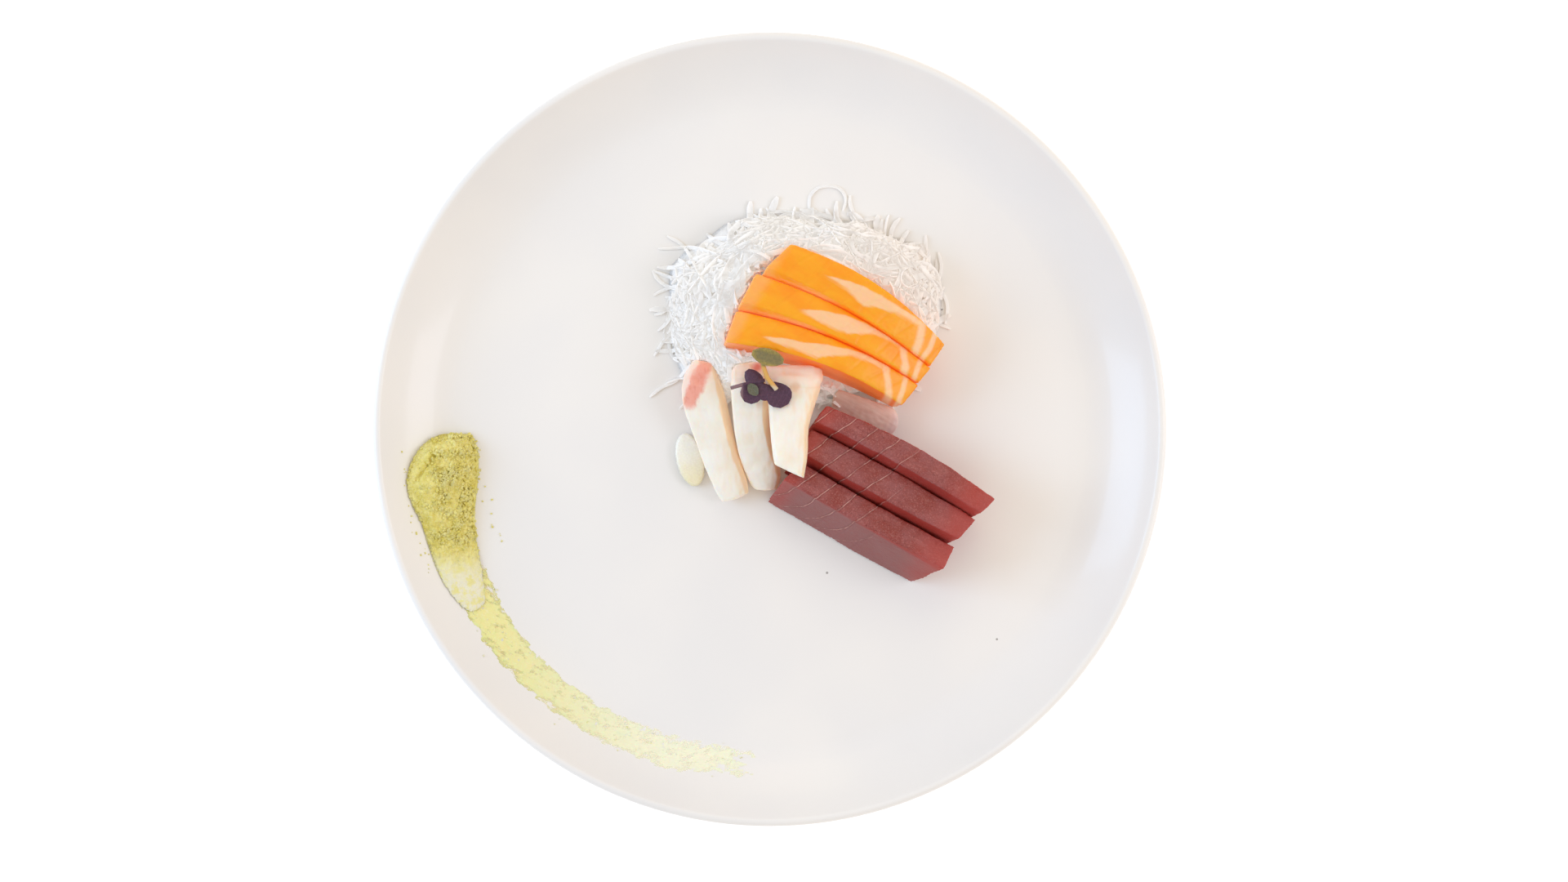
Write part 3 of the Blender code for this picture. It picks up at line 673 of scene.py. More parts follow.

# %% [markdown]
# ## White fish
# The white fish is cut thin and bent over, so its slices are soft rolls. The flesh is ivory and lets light
# through, the skin side keeps a rosy patch, and the sides that lean over carry painted shade, a warmer tan, and a
# weak painted glow.

# %% White fish


def white_fish_finish():
    look = Finish(
        "white_flesh",
        Roughness=0.38,
        Subsurface_Weight=0.8,
        Subsurface_Radius=(1.0, 0.7, 0.5),
        Subsurface_Scale=3.5 * MM,
        Specular_IOR_Level=0.4,
        Emission_Strength=0.11,
    )
    spot = look.place()
    x, y = look.dot(spot, (1, 0, 0)), look.dot(spot, (0, 1, 0))
    clouds = look.noise(spot, 8, 3)
    fibre = look.noise(look.stretch(spot, (1.0, 0.25, 1.0)), 1.3, 3)
    wobble = look.noise(spot, 3, 3) - 0.5

    def near(place, size, soft):
        away = look.node("ShaderNodeVectorMath", {"operation": "DISTANCE"}, {0: spot, 1: place}, "Value")
        return look.step(away + wobble * soft, size + soft / 2, size - soft / 2)

    body = look.mix(look.step(clouds, 0.35, 0.7), paint(251, 241, 229), paint(248, 235, 218))
    front = look.node("ShaderNodeNewGeometry", out="Normal")
    # Painted shade: the sides that lean to the right are painted a warm tan, the colour of their shade.
    lean = look.step(look.dot(front, (0.97, 0.25, 0.0)) + wobble * 0.3, 0.0, 0.5)
    body = look.mix(lean * 0.8, body, paint(247, 214, 174))
    body = look.mix(look.step(y + wobble * 4, 12, 19) * 0.6, body, paint(247, 210, 184))
    body = look.mix(near((14.0, 18.5, 29.0), 4.2, 2.5) * 0.8, body, paint(250, 234, 218))
    # Painted shadow: a small tan patch under the fold at the top of the right slice.
    body = look.mix(near((8.6, 14.2, 29.0), 1.8, 1.5) * 0.5, body, paint(226, 188, 150))
    skin_line = look.dot(spot, (0.92, -0.38, 0)) + 28.6
    skin = look.step(abs(skin_line + wobble * 3), 3.4, 1.6) * look.step(y + wobble * 4, 5.5, 9.5) * look.step(x, -18, -20)
    veil = look.step(skin_line, -1.5, -4.0) * look.step(y, 4, 8) * look.step(x, -18, -20)
    body = look.mix(veil * 0.8, body, paint(248, 218, 204))
    body = look.mix(skin * 0.9, body, paint(242, 166, 144))
    streaks = look.step(look.noise(look.stretch(spot, (1.0, 0.4, 1.0)), 1.6, 4), 0.5, 0.7)
    body = look.mix(skin * streaks * 0.5, body, paint(222, 130, 110))
    body = look.mix(near((-4.4, 20.6, 26.0), 1.9, 1.8) * 0.8, body, paint(226, 104, 84))
    # Painted light: a weak tan glow on the sides, which lightens their shade.
    side = look.step(look.dot(front, (0, 0, 1)), 0.8, 0.2)
    return look.feed(
        Base_Color=body,
        Emission_Color=look.mix(side, (0, 0, 0, 1), paint(250, 215, 180)),
        Roughness=0.26 + fibre * 0.15,
        Normal=look.bump(fibre * 0.6 + clouds * 0.4, 0.12),
    )


def white_fish_relief(place, normal):
    swell = 0.5 * noise.noise(place / 5)
    fibre = 0.12 * noise.noise(Vector((place.x, place.y * 0.3, place.z)) / 1.2)
    fold = 0.7 * max(0, noise.noise(Vector((place.x * 0.4, place.y, 0)) / 2.6)) if place.y > 14 else 0
    side_share = max(0, 1 - 1.6 * abs(normal.z))
    return swell * abs(normal.z) + fibre - fold + 0.12 * side_share - 0.1


white_flesh = white_fish_finish()
for number in (1, 2, 3):
    node = f"white_fish_slice_{number}"
    white_fish = soft_body(f"white_fish_{number}", joined_mesh(node), 0.4 * MM, 3)
    relief(white_fish, white_fish_relief)
    finish_with(white_fish, white_flesh)
    put(white_fish, "white_fish", node)
    print(white_fish.name, triangles(white_fish), "triangles")

# %% [markdown]
# ## Daikon nest
# Daikon is cut into long flat shreds and soaked, so the heap is a tangle of clear strips. A sculpted heap
# would look like dough. Here a lower core fills the middle, and hundreds of real strands wander over it:
# each has a flat section, a slow twist and its own curl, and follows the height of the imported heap.

# %% Heights for things that lie on something


def surface_over(*nodes):
    """A function that gives the highest surface of those solids at a place, in metres."""
    trees = []
    for node in nodes:
        form = bmesh.new()
        form.from_mesh(solids[node].data)
        trees.append(BVHTree.FromBMesh(form))
        form.free()

    def height(x, y):
        hits = [tree.ray_cast(Vector((x, y, 1)), Vector((0, 0, -1)))[0] for tree in trees]
        return max((hit.z for hit in hits if hit), default=0.0)

    return height


nest_top = surface_over("daikon_nest", "plate")
ribbon_top = surface_over("daikon_ribbon")
fish_top = surface_over(*(node for node in solids if "_slice_" in node))
nest_low, nest_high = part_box("daikon_nest")
print("nest from", [round(v / MM, 1) for v in nest_low], "to", [round(v / MM, 1) for v in nest_high])

# %% Daikon finish


def daikon_finish(name, light, dark, painted_glow):
    """White wet shreds. A weak painted glow stands for the light that thin strips let through and lifts the shade
    between them.
    """
    look = Finish(
        name,
        Roughness=0.4,
        Subsurface_Weight=0.6,
        Subsurface_Radius=(1.0, 0.97, 0.95),
        Subsurface_Scale=3.0 * MM,
        Specular_IOR_Level=0.35,
        Emission_Strength=painted_glow,
    )
    spot = look.place()
    clouds = look.noise(spot, 4, 3)
    # Painted warm light: the shreds are painted warmer towards the right and the front.
    painted_warm_light = look.step(look.dot(spot, (1, -0.4, 0)), -25, 35)
    fibre = look.noise(spot, 0.7, 2)
    cool = look.mix(look.step(clouds, 0.3, 0.7), light, dark)
    body = look.mix(painted_warm_light * 0.7, cool, paint(247, 236, 226))
    return look.feed(
        Base_Color=body, Emission_Color=body, Roughness=0.32 + fibre * 0.2, Normal=look.bump(fibre, 0.04)
    )


daikon_core = daikon_finish("daikon_core", paint(240, 238, 235), paint(228, 226, 222), 0.06)
daikon_strand = daikon_finish("daikon_strand", paint(251, 249, 245), paint(245, 242, 238), 0.1)

# %% Core of the nest


def core_relief(place, normal):
    lumps = 0.8 * abs(noise.noise(place / 4)) + 0.2 * noise.noise(place / 1.5)
    sink = 1.2 if normal.z > -0.5 else 0.3
    return lumps - sink


core = soft_body("daikon_heap", joined_mesh("daikon_nest"), 0.8 * MM, 2)
relief(core, core_relief)
finish_with(core, daikon_core)
put(core, "daikon", "daikon_nest")
print(core.name, triangles(core), "triangles")

# %% Strands of the nest


def add_strand(form, points, width, thickness, twist, roll):
    """A flat strip along the points, all in millimetres, that turns slowly about its own length."""
    rings = []
    for i, point in enumerate(points):
        ahead = (points[min(i + 1, len(points) - 1)] - points[max(i - 1, 0)]).normalized()
        side = ahead.cross(Vector((0, 0, 1))).normalized()
        up = side.cross(ahead)
        angle = roll + twist * i
        broad = side * math.cos(angle) + up * math.sin(angle)
        thin = ahead.cross(broad)
        taper = min(1.0, 0.45 + 0.3 * min(i, len(points) - 1 - i))
        ring = []
        for u, v in ((-1, -0.8), (1, -1), (1, 0.8), (-1, 1)):
            corner_point = point + broad * (u * width / 2 * taper) + thin * (v * thickness / 2)
            ring.append(form.verts.new(corner_point * MM))
        rings.append(ring)
    for first, second in zip(rings, rings[1:]):
        for i in range(4):
            j = (i + 1) % 4
            form.faces.new((first[i], first[j], second[j], second[i]))
    form.faces.new(rings[0][::-1])
    form.faces.new(rings[-1])


def wander(rng, start, heading, steps, stride, curl, lift, top):
    """Points of a strand that lies on the surface top, in millimetres."""
    points = []
    x, y = start
    bend = rng.uniform(-curl, curl)
    wave = rng.uniform(0, 6.3)
    for step in range(steps):
        bend += rng.uniform(-curl, curl) * 0.5
        bend *= 0.93
        heading += bend
        x += math.cos(heading) * stride
        y += math.sin(heading) * stride
        under_fish = fish_top(x * MM, y * MM) > 0
        rise = min(lift, -1.1) if under_fish else lift + 0.3 * math.sin(wave + step * 0.4)
        z = top(x * MM, y * MM) / MM + rise
        points.append(Vector((x, y, z)))
    for i in range(1, len(points) - 1):
        points[i].z = (points[i - 1].z + 2 * points[i].z + points[i + 1].z) / 4
    return points


def mesh_piece(name, form):
    bmesh.ops.recalc_face_normals(form, faces=form.faces)
    mesh = bpy.data.meshes.new(name)
    form.to_mesh(mesh)
    form.free()
    mesh.shade_smooth()
    mesh.set_sharp_from_angle(angle=math.radians(50))
    piece = bpy.data.objects.new(name, mesh)
    scene.collection.objects.link(piece)
    return piece


def smooth_line(corners, stride=1.1):
    """Points about a stride apart on a smooth curve through a few corners."""
    line = [2 * corners[0] - corners[1], *corners, 2 * corners[-1] - corners[-2]]
    points = []
    for before, first, second, after in zip(line, line[1:], line[2:], line[3:]):
        count = max(2, round((second - first).length / stride))
        for step in range(count):
            t = step / count
            bend = first * 2 + (second - before) * t
            bend += (2 * before - 5 * first + 4 * second - after) * t**2
            bend += (3 * first - before - 3 * second + after) * t**3
            points.append(bend / 2)
    return points + [corners[-1]]


# Shreds that slid down to the foot of the nest
FOOT_SHREDS = 75

# Shreds that lie loose at the rim of the nest, as corners in millimetres
LOOSE_SHREDS = (
    ((-35.0, 66.0), (-29.5, 62.5), (-25.0, 55.0), (-21.5, 48.5)),
    ((-39.5, 25.0), (-35.0, 31.5), (-29.0, 34.8), (-22.0, 36.5)),
    ((-41.0, 11.0), (-37.0, 14.2), (-32.0, 16.6), (-27.0, 22.0)),
    ((57.6, 60.5), (58.6, 55.5), (57.2, 50.0), (53.0, 44.0)),
    ((54.0, 52.5), (58.0, 48.0), (60.6, 42.5), (60.0, 36.0)),
    ((13.5, 74.0), (13.8, 79.5), (17.5, 82.8), (23.5, 82.4), (26.0, 78.5), (25.0, 74.5)),
    ((-24.5, 42.0), (-26.5, 34.0), (-25.0, 26.0), (-22.5, 20.0)),
    ((-31.0, 50.0), (-32.5, 42.0), (-30.0, 34.0), (-27.0, 28.0)),
    ((-20.0, 58.5), (-12.0, 61.0), (-4.0, 60.0), (3.0, 56.0)),
    ((36.0, 64.0), (42.0, 60.0), (44.5, 53.5), (42.0, 47.5)),
    ((30.0, 62.5), (33.5, 57.0), (39.5, 54.5), (46.5, 55.5)),
    ((-10.0, 66.5), (0.0, 69.0), (9.0, 67.5), (16.5, 63.0)),
    ((15.0, 18.5), (17.0, 14.5), (20.0, 13.5), (22.5, 11.0)),
    ((15.5, 11.5), (18.0, 8.8), (21.0, 9.8), (24.0, 7.5)),
    ((16.5, 7.0), (19.0, 11.5), (17.5, 15.5)),
)


def nest_strands(count, seed):
    rng = random.Random(seed)
    form = bmesh.new()
    middle = Vector(((nest_low.x + nest_high.x) / 2, (nest_low.y + nest_high.y) / 2)) / MM
    reach = Vector((nest_high.x - nest_low.x, nest_high.y - nest_low.y)) / 2 / MM
    made = 0
    while made < count:
        angle = rng.uniform(0, 2 * math.pi)
        share = rng.random() ** 0.42
        start = (middle.x + math.cos(angle) * reach.x * share, middle.y + math.sin(angle) * reach.y * share)
        surface = nest_top(start[0] * MM, start[1] * MM) / MM
        if surface < 11:
            continue
        lift = rng.uniform(-0.9, 0.1)
        steps = rng.randint(16, 38)
        spread = 1.3 - share
        heading = angle + math.pi / 2 + rng.uniform(-spread, spread)
        points = wander(rng, start, heading, steps, 1.15, 0.13, lift, nest_top)
        low_points = sum(1 for p in points if p.z < 10)
        if low_points > steps * 0.3:
            continue
        for p in points:
            p.z = max(p.z, face_height(math.hypot(p.x, p.y) * MM) / MM + 0.5)
        width = rng.uniform(1.0, 2.4)
        add_strand(form, points, width, rng.uniform(0.3, 0.5), rng.uniform(-0.04, 0.04), rng.uniform(-0.3, 0.3))
        made += 1
    made = 0
    while made < FOOT_SHREDS:
        angle = rng.uniform(0.0, 1.15 * math.pi)
        share = rng.uniform(0.86, 1.0)
        start = (middle.x + math.cos(angle) * reach.x * share, middle.y + math.sin(angle) * reach.y * share)
        if nest_top(start[0] * MM, start[1] * MM) / MM > 14:
            continue
        heading = angle + math.pi / 2 + rng.uniform(-0.5, 0.5)
        points = wander(rng, start, heading, rng.randint(8, 17), 1.15, 0.16, rng.uniform(-0.1, 0.5), nest_top)
        if any(fish_top(p.x * MM, p.y * MM) + ribbon_top(p.x * MM, p.y * MM) > 0 for p in points):
            continue
        if any(math.hypot((p.x - middle.x) / reach.x, (p.y - middle.y) / reach.y) > 1.1 for p in points):
            continue
        for p in points:
            p.z = max(p.z, face_height(math.hypot(p.x, p.y) * MM) / MM + 0.4)
        add_strand(form, points, rng.uniform(0.9, 1.6), 0.35, rng.uniform(-0.04, 0.04), rng.uniform(-0.3, 0.3))
        made += 1
    for corners in LOOSE_SHREDS:
        points = smooth_line([Vector((x, y, 0)) for x, y in corners])
        for p in points:
            lying_on = max(nest_top(p.x * MM, p.y * MM), ribbon_top(p.x * MM, p.y * MM)) / MM
            p.z = max(lying_on, face_height(math.hypot(p.x, p.y) * MM) / MM) + 0.45
        add_strand(form, points, 1.1, 0.4, 0.02, 0.1)
    return mesh_piece("daikon_strands", form)


strands = nest_strands(460, 11)
finish_with(strands, daikon_strand)
put(strands, "daikon")
print(strands.name, triangles(strands), "triangles")

# %% [markdown]
# ## Daikon ribbon and cucumber
# A smooth ribbon of daikon lies between the salmon and the tuna. It is so thin that the plate's warmth comes
# through, and its side next to the salmon is painted more orange, as painted light from the salmon. The cucumber
# is a thin end slice, white with a green cast. Both keep their imported shape and only need a softer surface.

# %% Ribbon and cucumber


def ribbon_finish():
    look = Finish(
        "daikon_ribbon",
        Roughness=0.25,
        Subsurface_Weight=0.5,
        Subsurface_Radius=(1.0, 0.7, 0.55),
        Subsurface_Scale=2.0 * MM,
    )
    spot = look.place()
    along = look.dot(spot, ALONG)
    across = look.dot(spot, ACROSS)
    streaks = look.noise(look.vector(along * 0.2, across * 1.2), 2.2, 3)
    body = look.mix(look.step(streaks, 0.3, 0.7), paint(226, 198, 184), paint(238, 220, 208))
    # Painted light: the side next to the salmon is painted more orange, as the orange light from the salmon.
    body = look.mix(look.step(across, -20.5, -26.5) * 0.6, body, paint(232, 186, 164))
    body = look.mix(look.step(along, 32, 37) * 0.6, body, paint(222, 204, 202))
    return look.feed(Base_Color=body, Roughness=0.2 + streaks * 0.2, Normal=look.bump(streaks, 0.08))


def cucumber_finish():
    look = Finish(
        "cucumber_flesh",
        Roughness=0.25,
        Subsurface_Weight=0.5,
        Subsurface_Radius=(0.9, 1.0, 0.7),
        Subsurface_Scale=1.8 * MM,
    )
    spot = look.place()
    slope = look.dot(spot, (0.35, -0.93, 0)) + (look.noise(spot, 4, 2) - 0.5) * 6
    body = look.mix(look.step(slope, -5, 8), paint(244, 241, 230), paint(238, 229, 196))
    grain = look.noise(spot, 0.8, 3)
    return look.feed(Base_Color=body, Roughness=0.2 + grain * 0.15, Normal=look.bump(grain, 0.06))


def small_relief(place, normal):
    return 0.12 * noise.noise(place / 1.6)


ribbon = soft_body("ribbon", joined_mesh("daikon_ribbon"), 0.3 * MM, 3)
relief(ribbon, small_relief)
finish_with(ribbon, ribbon_finish())
put(ribbon, "daikon", "daikon_ribbon")

cucumber = soft_body("cucumber", joined_mesh("cucumber_slice"), 0.35 * MM, 3)
relief(cucumber, small_relief)
finish_with(cucumber, cucumber_finish())
put(cucumber, "cucumber", "cucumber_slice")
print("ribbon", triangles(ribbon), "cucumber", triangles(cucumber), "triangles")

# %% [markdown]
# ## Sprouts
# The purple sprout has two round notched leaves and a folded one, all with a soft bloom and pale veins.
# The green sprout's single leaf is folded along its middle and sits on a pale stem. They are copies of the
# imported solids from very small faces, so that stems stay round and leaf edges stay thin.

# %% Leaf finishes


def leaf_finish(name, body, vein, heading, tint):
    look = Finish(name, Roughness=0.5, Subsurface_Weight=0.15, Subsurface_Scale=0.6 * MM, Sheen_Weight=0.25)
    spot = look.place()
    along = look.dot(spot, (math.cos(heading), math.sin(heading), 0))
    across = look.dot(spot, (math.sin(heading), -math.cos(heading), 0))
    wobble = look.noise(spot, 2.5, 2) - 0.5
    ribs = look.node("ShaderNodeMath", {"operation": "PINGPONG"}, {0: along + abs(across) * 0.7 + wobble, 1: 0.9})
    veins = look.step(ribs, 0.12, 0.0)
    mottle = look.noise(spot, 0.7, 4, 0.7)
    colour = look.mix(look.step(mottle, 0.35, 0.7), body, tint)
    colour = look.mix(veins * 0.35, colour, vein)
    return look, spot, colour, mottle


def green_sprout_finish():
    look, spot, colour, mottle = leaf_finish(
        "green_leaf", paint(134, 120, 58), paint(186, 170, 96), math.radians(-16), paint(168, 146, 72)
    )
    x, y = look.dot(spot, (1, 0, 0)), look.dot(spot, (0, 1, 0))
    middle = look.step(abs(y - 24.2 + (x + 0.6) * 0.29), 2.4, 1.0) * look.step(abs(x + 0.2), 5.2, 3.6)
    colour = look.mix(middle * 0.6, colour, paint(104, 98, 74))
    stem = look.step(y, 21.8, 20.6)
    colour = look.mix(stem, colour, paint(218, 168, 84))
    cut = look.step(y, 15.4, 13.8)
    colour = look.mix(cut, colour, paint(214, 194, 160))
    return look.feed(Base_Color=colour, Roughness=0.4 + mottle * 0.2, Normal=look.bump(mottle, 0.06))


def purple_sprout_finish():
    look, spot, colour, mottle = leaf_finish(
        "purple_leaf", paint(68, 34, 58), paint(110, 72, 100), math.radians(-62), paint(86, 48, 70)
    )
    x = look.dot(spot, (1, 0, 0))
    stem = look.step(x, -8.6, -9.6)
    colour = look.mix(stem * 0.7, colour, paint(150, 118, 118))
    return look.feed(Base_Color=colour, Roughness=0.42 + mottle * 0.2, Normal=look.bump(mottle, 0.06))


# %% Sprout shapes
green_sprout = soft_body("green_seedling", joined_mesh("green_sprout"), 0.16 * MM, 4)
finish_with(green_sprout, green_sprout_finish())
put(green_sprout, "green_leaf", "green_sprout")

purple_sprout = soft_body("purple_seedling", joined_mesh("purple_sprout"), 0.16 * MM, 4)
finish_with(purple_sprout, purple_sprout_finish())
put(purple_sprout, "purple_leaf", "purple_sprout")
print("sprouts", triangles(green_sprout), "and", triangles(purple_sprout), "triangles")

# %% [markdown]
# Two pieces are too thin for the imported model: the heart of the purple leaf, which joins its two lobes, and
# a third, very small leaf that lies on the left lobe. Each is made here from one grid that is pinched to a
# leaf's outline.

# %% Small leaf


def blade(name, middle, length, width, heading, height_at, fold, thickness=0.35):
    """A small leaf with rounded edges that lies on a surface. Sizes are in millimetres."""
    form = bmesh.new()
    rows, columns = 14, 8
    turn = Matrix.Rotation(heading, 2)
    for side in (1, -1):
        grid = []
        for row in range(rows + 1):
            share = row / rows
            half = width / 2 * math.sin(math.pi * (0.03 + 0.94 * share)) ** 0.7
            line = []
            for column in range(columns + 1):
                u = 2 * column / columns - 1
                flat = turn @ Vector(((share - 0.5) * length, u * half))
                x, y = middle[0] + flat.x, middle[1] + flat.y
                edge = 1 - max(abs(u), abs(2 * share - 1)) ** 4
                lift = fold * abs(u) + side * thickness / 2 * edge
                line.append(form.verts.new(Vector((x, y, height_at + lift)) * MM))
            grid.append(line)
        for lower, upper in zip(grid, grid[1:]):
            for i in range(columns):
                form.faces.new((lower[i], upper[i], upper[i + 1], lower[i + 1])[::side])
    bmesh.ops.remove_doubles(form, verts=form.verts, dist=0.001 * MM)
    return mesh_piece(name, form)


purple_top = surface_over("purple_sprout")
lobe_heights = [purple_top(x * MM, 12.2 * MM) / MM for x in (-3.4, 0.2)]
leaf_heart = blade("leaf_heart", (-1.7, 12.4), 6.0, 5.6, math.radians(8), sum(lobe_heights) / 2 - 0.2, 0.1, 0.5)
finish_with(leaf_heart, purple_sprout.data.materials[0])
put(leaf_heart, "purple_leaf")

leaf_spot = (-5.6, 13.4)
leaf_height = purple_top(leaf_spot[0] * MM, leaf_spot[1] * MM) / MM + 0.45
small_leaf = blade("small_leaf", leaf_spot, 4.8, 3.6, math.radians(-52), leaf_height, 0.5)


def small_leaf_finish():
    look, spot, colour, mottle = leaf_finish(
        "small_leaf", paint(86, 88, 62), paint(128, 122, 96), math.radians(-52), paint(108, 104, 86)
    )
    return look.feed(Base_Color=colour, Roughness=0.45 + mottle * 0.2, Normal=look.bump(mottle, 0.05))


finish_with(small_leaf, small_leaf_finish())
put(small_leaf, "green_leaf")
print("small leaf at", round(leaf_height, 1), "mm")

# %% [markdown]
# ## Wasabi
# The dollop is coarse grated paste. It was set down with a spoon that left a smooth crease, and then
# dragged, so its right side is crumbly and its left side is smoother. Crumbs are real relief: a rough noise
# that is strong on top and fades towards the smooth side.

# %% Wasabi dollop


def wasabi_relief(place, normal):
    x, y = place.x, place.y
    if normal.z < -0.3:
        return 0.15
    crumbs = noise.turbulence(place / 2.2, 3, True, noise_basis="PERLIN_ORIGINAL")
    crumbs += 0.45 * abs(noise.noise(place / 1.1)) - 0.1
    rough = 0.5 + 0.5 * max(0.0, min(1.0, (x + 118) / 6))
    tail = max(0.2, min(1.0, (y + 54) / 18))
    crease_along = (x + 117.2) * 0.62 + (y + 12.5) * 0.78
    crease_away = (x + 117.2) * 0.78 - (y + 12.5) * 0.62
    crease = math.exp(-((crease_away / 0.9) ** 2)) * math.exp(-((crease_along / 6.5) ** 4))
    hollow = math.exp(-(((x + 108.9) / 2.6) ** 2 + ((y + 19.3) / 3.0) ** 2))
    return ((crumbs - 0.9) * 1.25 * rough - 0.35) * tail - 1.8 * crease - 1.0 * hollow


def wasabi_finish():
    look = Finish(
        "wasabi_paste",
        Roughness=0.55,
        Subsurface_Weight=0.3,
        Subsurface_Radius=(1.0, 0.9, 0.3),
        Subsurface_Scale=1.0 * MM,
        Specular_IOR_Level=0.35,
    )
    spot = look.place()
    y = look.dot(spot, (0, 1, 0))
    clouds = look.noise(spot, 4, 3)
    grains = look.noise(spot, 0.6, 4, 0.75)
    body = look.mix(look.step(clouds, 0.35, 0.65), paint(228, 212, 104), paint(246, 234, 146))
    body = look.mix(look.step(grains, 0.5, 0.68) * 0.7, body, paint(252, 246, 186))
    # Painted shade: the low places of the grain relief are painted darker, as shade in the hollows between crumbs.
    shaded_pits = look.step(grains, 0.42, 0.28)
    body = look.mix(shaded_pits * 0.8, body, paint(160, 158, 62))
    tail = look.step(y + clouds * 6, -38, -44)
    body = look.mix(tail * 0.85, body, paint(244, 237, 166))
    clumps = look.noise(spot, 2.4, 4, 0.65)
    gaps = look.step(y, -40, -54) * look.step(clumps, 0.60, 0.44)
    body = look.mix(gaps * 0.8, body, paint(246, 243, 226))
    return look.feed(Base_Color=body, Roughness=0.45 + grains * 0.25, Normal=look.bump(grains, 0.3))


wasabi = soft_body("wasabi_dollop", joined_mesh("wasabi"), 0.42 * MM, 2)
relief(wasabi, wasabi_relief)
wasabi_paste = wasabi_finish()
finish_with(wasabi, wasabi_paste)
put(wasabi, "wasabi", "wasabi")
print(wasabi.name, triangles(wasabi), "triangles")

# %% [markdown]
# A grater leaves grains, and relief on one skin can't show them standing apart. So real grains are pressed
# into the dollop, many on the crumbly right side and few where the spoon went.

# %% Grains on the dollop


def lump(form, place, size, rng, rounds=2):
    """A small uneven lump whose underside sits at the place. Sizes are in millimetres."""
    made = bmesh.ops.create_icosphere(form, subdivisions=rounds, radius=1.0)
    shift = Vector((rng.uniform(0, 50), rng.uniform(0, 50), rng.uniform(0, 50)))
    squash = Vector((rng.uniform(0.7, 1.2), rng.uniform(0.7, 1.2), rng.uniform(0.45, 0.75)))
    for vertex in made["verts"]:
        bulge = 1 + 0.35 * noise.noise(vertex.co * 1.3 + shift)
        shape = Vector((a * b for a, b in zip(vertex.co, squash))) * bulge * size / 2
        vertex.co = (place + shape + Vector((0, 0, size * 0.25))) * MM


def grains_on(nodes, count, seed):
    rng = random.Random(seed)
    form = bmesh.new()
    top = surface_over(*nodes)
    low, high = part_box(*nodes)
    made = 0
    while made < count:
        x, y = rng.uniform(low.x, high.x) / MM, rng.uniform(low.y, high.y) / MM
        surface = top(x * MM, y * MM) / MM
        crumbly = 0.15 + 0.85 * max(0.0, min(1.0, (x + 119) / 9))
        clusters = 0.5 + 1.6 * noise.noise(Vector((x, y, 4.0)) / 3.4)
        thins_out = max(0.0, min(1.0, (y + 50) / 14))
        if surface == 0 or rng.random() > crumbly * clusters * (0.1 + 0.9 * thins_out):
            continue
        size = rng.choice((rng.uniform(0.4, 0.9), rng.uniform(0.7, 1.9))) * (0.5 + 0.5 * thins_out)
        lump(form, Vector((x, y, surface - 0.5 - size * 0.5)), size, rng, 1)
        made += 1
    return mesh_piece("wasabi_grains", form)


wasabi_grains = grains_on(["wasabi"], 1000, 8)
finish_with(wasabi_grains, wasabi_paste)
put(wasabi_grains, "wasabi")
print(wasabi_grains.name, triangles(wasabi_grains), "triangles")

# %% [markdown]
# ## The drag of the wasabi
# From the dollop's tail a thin film was wiped along the side of the plate. It could be painted into the
# glaze, but from close by paste stands up from a plate. So it is a real sheet, about a fifth of a
# millimetre thick, whose streaks follow the arc, with gaps where the brush ran dry.

# %% Smear


def smear_edges(share):
    """Inner and outer radius of the film, in millimetres, at a share of its way round."""
    inner = 107.0 + 1.8 * math.sin(share * 5.0) + 4.2 * share
    outer = 122.0 - 1.0 * share - 7.0 * max(0, share - 0.75)
    return inner, outer


def smear(name, first, last, steps, lanes):
    form = bmesh.new()
    upper, lower = {}, {}
    for i in range(steps + 1):
        share = i / steps
        angle = math.radians(first + (last - first) * share)
        inner, outer = smear_edges(share)
        for j in range(lanes + 1):
            lane = j / lanes
            radius = inner + (outer - inner) * lane
            streak = noise.noise(Vector((share * 26, lane * 5, 3.7))) + 0.6 * noise.noise(Vector((share * 70, lane * 14, 1.2)))
            ragged = min(1.0, 5 * lane, 5 * (1 - lane)) * min(1.0, 12 * (1 - share))
            body = ragged * (1.0 - 0.55 * share) + 0.55 * streak - 0.25
            thick = max(0.0, body) * 0.38
            ground = face_height(radius * MM) / MM + 0.04
            spot = Vector((math.cos(angle) * radius, math.sin(angle) * radius, ground))
            upper[i, j] = (form.verts.new((spot + Vector((0, 0, 0.03 + thick))) * MM), thick)
            lower[i, j] = form.verts.new(spot * MM)
    kept = set()
    for i in range(steps):
        for j in range(lanes):
            if max(upper[k][1] for k in ((i, j), (i + 1, j), (i + 1, j + 1), (i, j + 1))) > 0.0:
                kept.add((i, j))
    for i, j in kept:
        ring = [(i, j), (i + 1, j), (i + 1, j + 1), (i, j + 1)]
        form.faces.new([upper[k][0] for k in ring])
        form.faces.new([lower[k] for k in ring][::-1])
        for side, beside in enumerate(((i, j - 1), (i + 1, j), (i, j + 1), (i - 1, j))):
            if beside not in kept:
                a, b = ring[side], ring[(side + 1) % 4]
                form.faces.new((upper[a][0], lower[a], lower[b], upper[b][0]))
    bmesh.ops.delete(form, geom=[v for v in form.verts if not v.link_faces], context="VERTS")
    return mesh_piece(name, form)


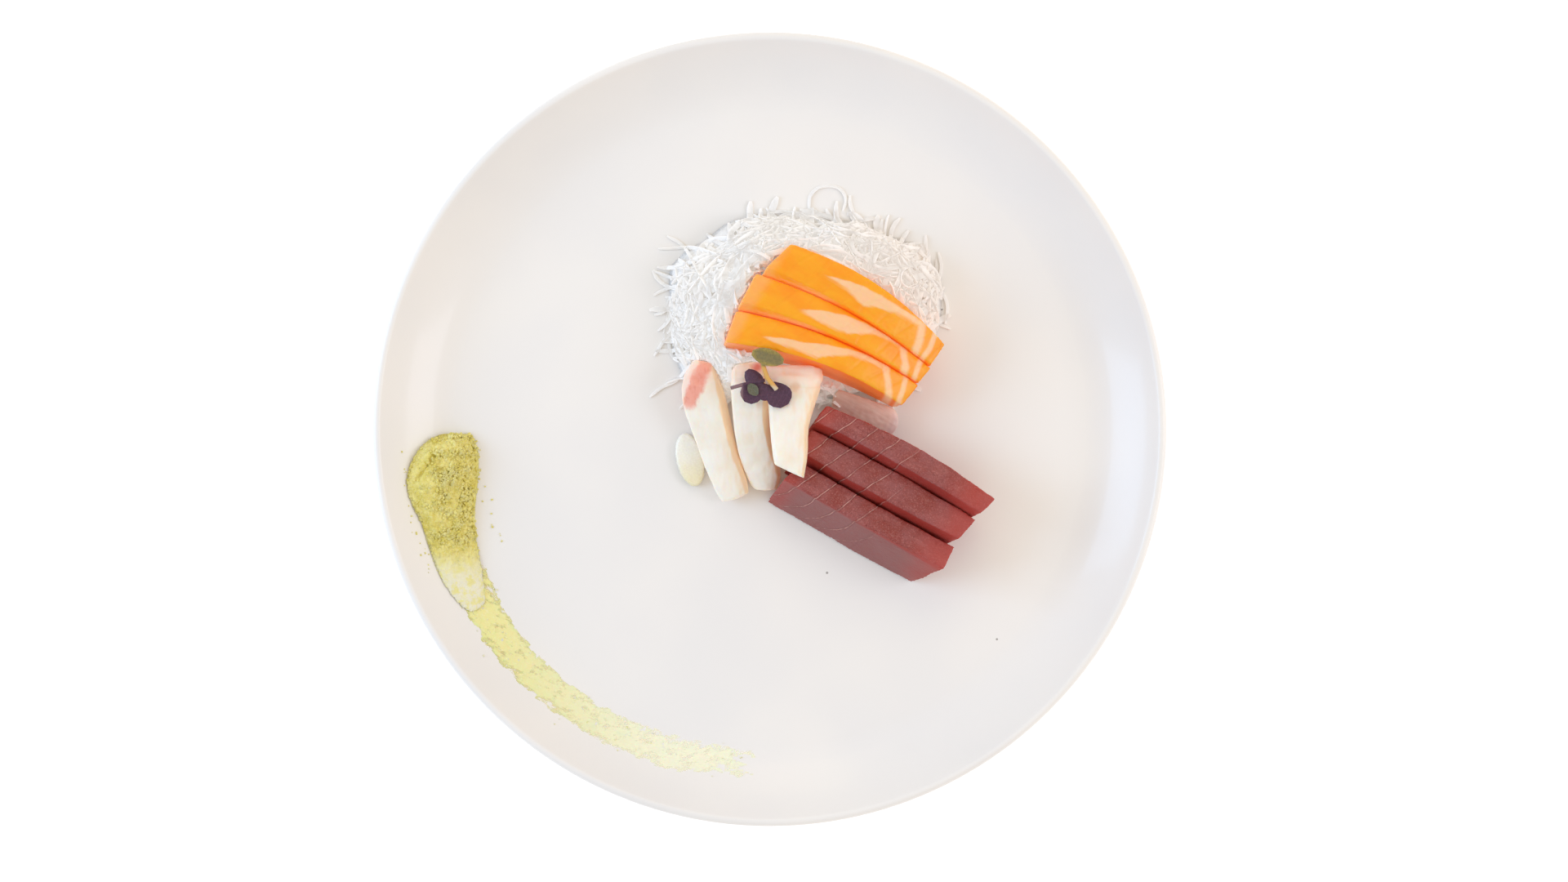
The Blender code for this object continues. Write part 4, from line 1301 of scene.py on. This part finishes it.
def smear_finish():
    look = Finish(
        "wasabi_film", Roughness=0.45, Subsurface_Weight=0.2, Subsurface_Scale=0.5 * MM, Emission_Strength=0.09
    )
    spot = look.place()
    x, y = look.dot(spot, (1, 0, 0)), look.dot(spot, (0, 1, 0))
    radius = (x * x + y * y) ** 0.5
    turn = look.node("ShaderNodeMath", {"operation": "ARCTAN2"}, {0: -y, 1: -x})
    strokes = look.noise(look.vector(radius + turn * 30.0, turn * 60.0), 2.6, 4, 0.65)
    grains = look.noise(spot, 0.7, 4, 0.7)
    far = look.step(x, -105, -30)
    body = look.mix(far, paint(242, 234, 156), paint(252, 248, 222))
    body = look.mix(look.step(grains, 0.52, 0.7) * 0.6, body, paint(252, 249, 214))
    body = look.mix(look.step(grains, 0.42, 0.28) * (1 - far) * 0.3, body, paint(226, 214, 134))
    middle = look.step(radius, 107, 113.5) * look.step(radius, 123, 118)
    cover = look.step(strokes + middle * 0.28 - far * 0.06, 0.46, 0.74) * (1 - far * 0.25)
    # Painted light: the far part of the film glows weakly, which lifts its shade.
    return look.feed(
        Base_Color=body,
        Emission_Color=look.mix(far, (0, 0, 0, 1), body),
        Alpha=cover,
        Roughness=0.4 + grains * 0.2,
        Normal=look.bump(grains, 0.12),
    )


film = smear("wasabi_film", 205.0, 267.5, 260, 34)
finish_with(film, smear_finish())
put(film, "wasabi")
print(film.name, triangles(film), "triangles")

# %% [markdown]
# Crumbs of paste fell off beside the dollop and along the drag. Each is a small uneven lump that sits on
# the glaze.

# %% Crumbs


def crumbs():
    rng = random.Random(5)
    form = bmesh.new()
    for _ in range(150):
        share = rng.random() ** 1.4
        angle = math.radians(204 + 62 * share + rng.gauss(0, 0.8))
        inner, outer = smear_edges(share)
        radius = rng.gauss((inner + outer) / 2, 3.0)
        ground = face_height(radius * MM) / MM + 0.08
        place = Vector((math.cos(angle) * radius, math.sin(angle) * radius, ground))
        lump(form, place, rng.uniform(0.3, 0.95) * (1 - 0.4 * share), rng)
    for _ in range(40):
        angle = math.radians(rng.uniform(182, 203))
        radius = rng.choice((rng.gauss(99.6, 0.8), rng.gauss(125.2, 0.6)))
        ground = face_height(radius * MM) / MM + 0.08
        place = Vector((math.cos(angle) * radius, math.sin(angle) * radius, ground))
        lump(form, place, rng.uniform(0.3, 0.8), rng)
    return mesh_piece("wasabi_crumbs", form)


loose = crumbs()
finish_with(loose, wasabi_paste)
put(loose, "wasabi")
print(loose.name, triangles(loose), "triangles")

# %% [markdown]
# ## Floor
# White paper, a little lit from behind.

# %% Floor
floor_mesh = bpy.data.meshes.new("paper")
reach = 6.0
floor_mesh.from_pydata([(-reach, -reach, 0), (reach, -reach, 0), (reach, reach, 0), (-reach, reach, 0)], [], [(0, 1, 2, 3)])
paper = bpy.data.objects.new("paper", floor_mesh)
paper.location.z = -0.05 * MM
scene.collection.objects.link(paper)
paper_look = Finish("white_paper", Roughness=0.9, Specular_IOR_Level=0.0)
paper_grain = paper_look.noise(paper_look.place(), 3, 2)
paper_white = paper_look.mix(paper_grain, (0.90, 0.90, 0.90, 1), (0.93, 0.93, 0.93, 1))
paper_look.shader.inputs["Emission Strength"].default_value = 0.36
paper_look.shader.inputs["Emission Color"].default_value = (1, 1, 1, 1)
finish_with(paper, paper_look.feed(Base_Color=paper_white))
paper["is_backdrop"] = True
print("floor:", 2 * reach, "m wide")

# %% [markdown]
# ## Measure and finish
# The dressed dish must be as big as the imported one. Both boxes are written down so that they can be
# compared.

# %% Finish
dressed_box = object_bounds()
sizes = {
    "packed": [list(map(float, corner)) for corner in cad_box],
    "dressed": [list(map(float, corner)) for corner in dressed_box],
}
for name, (low, high) in sizes.items():
    print(name, [round(v / MM, 2) for v in low], [round(v / MM, 2) for v in high])
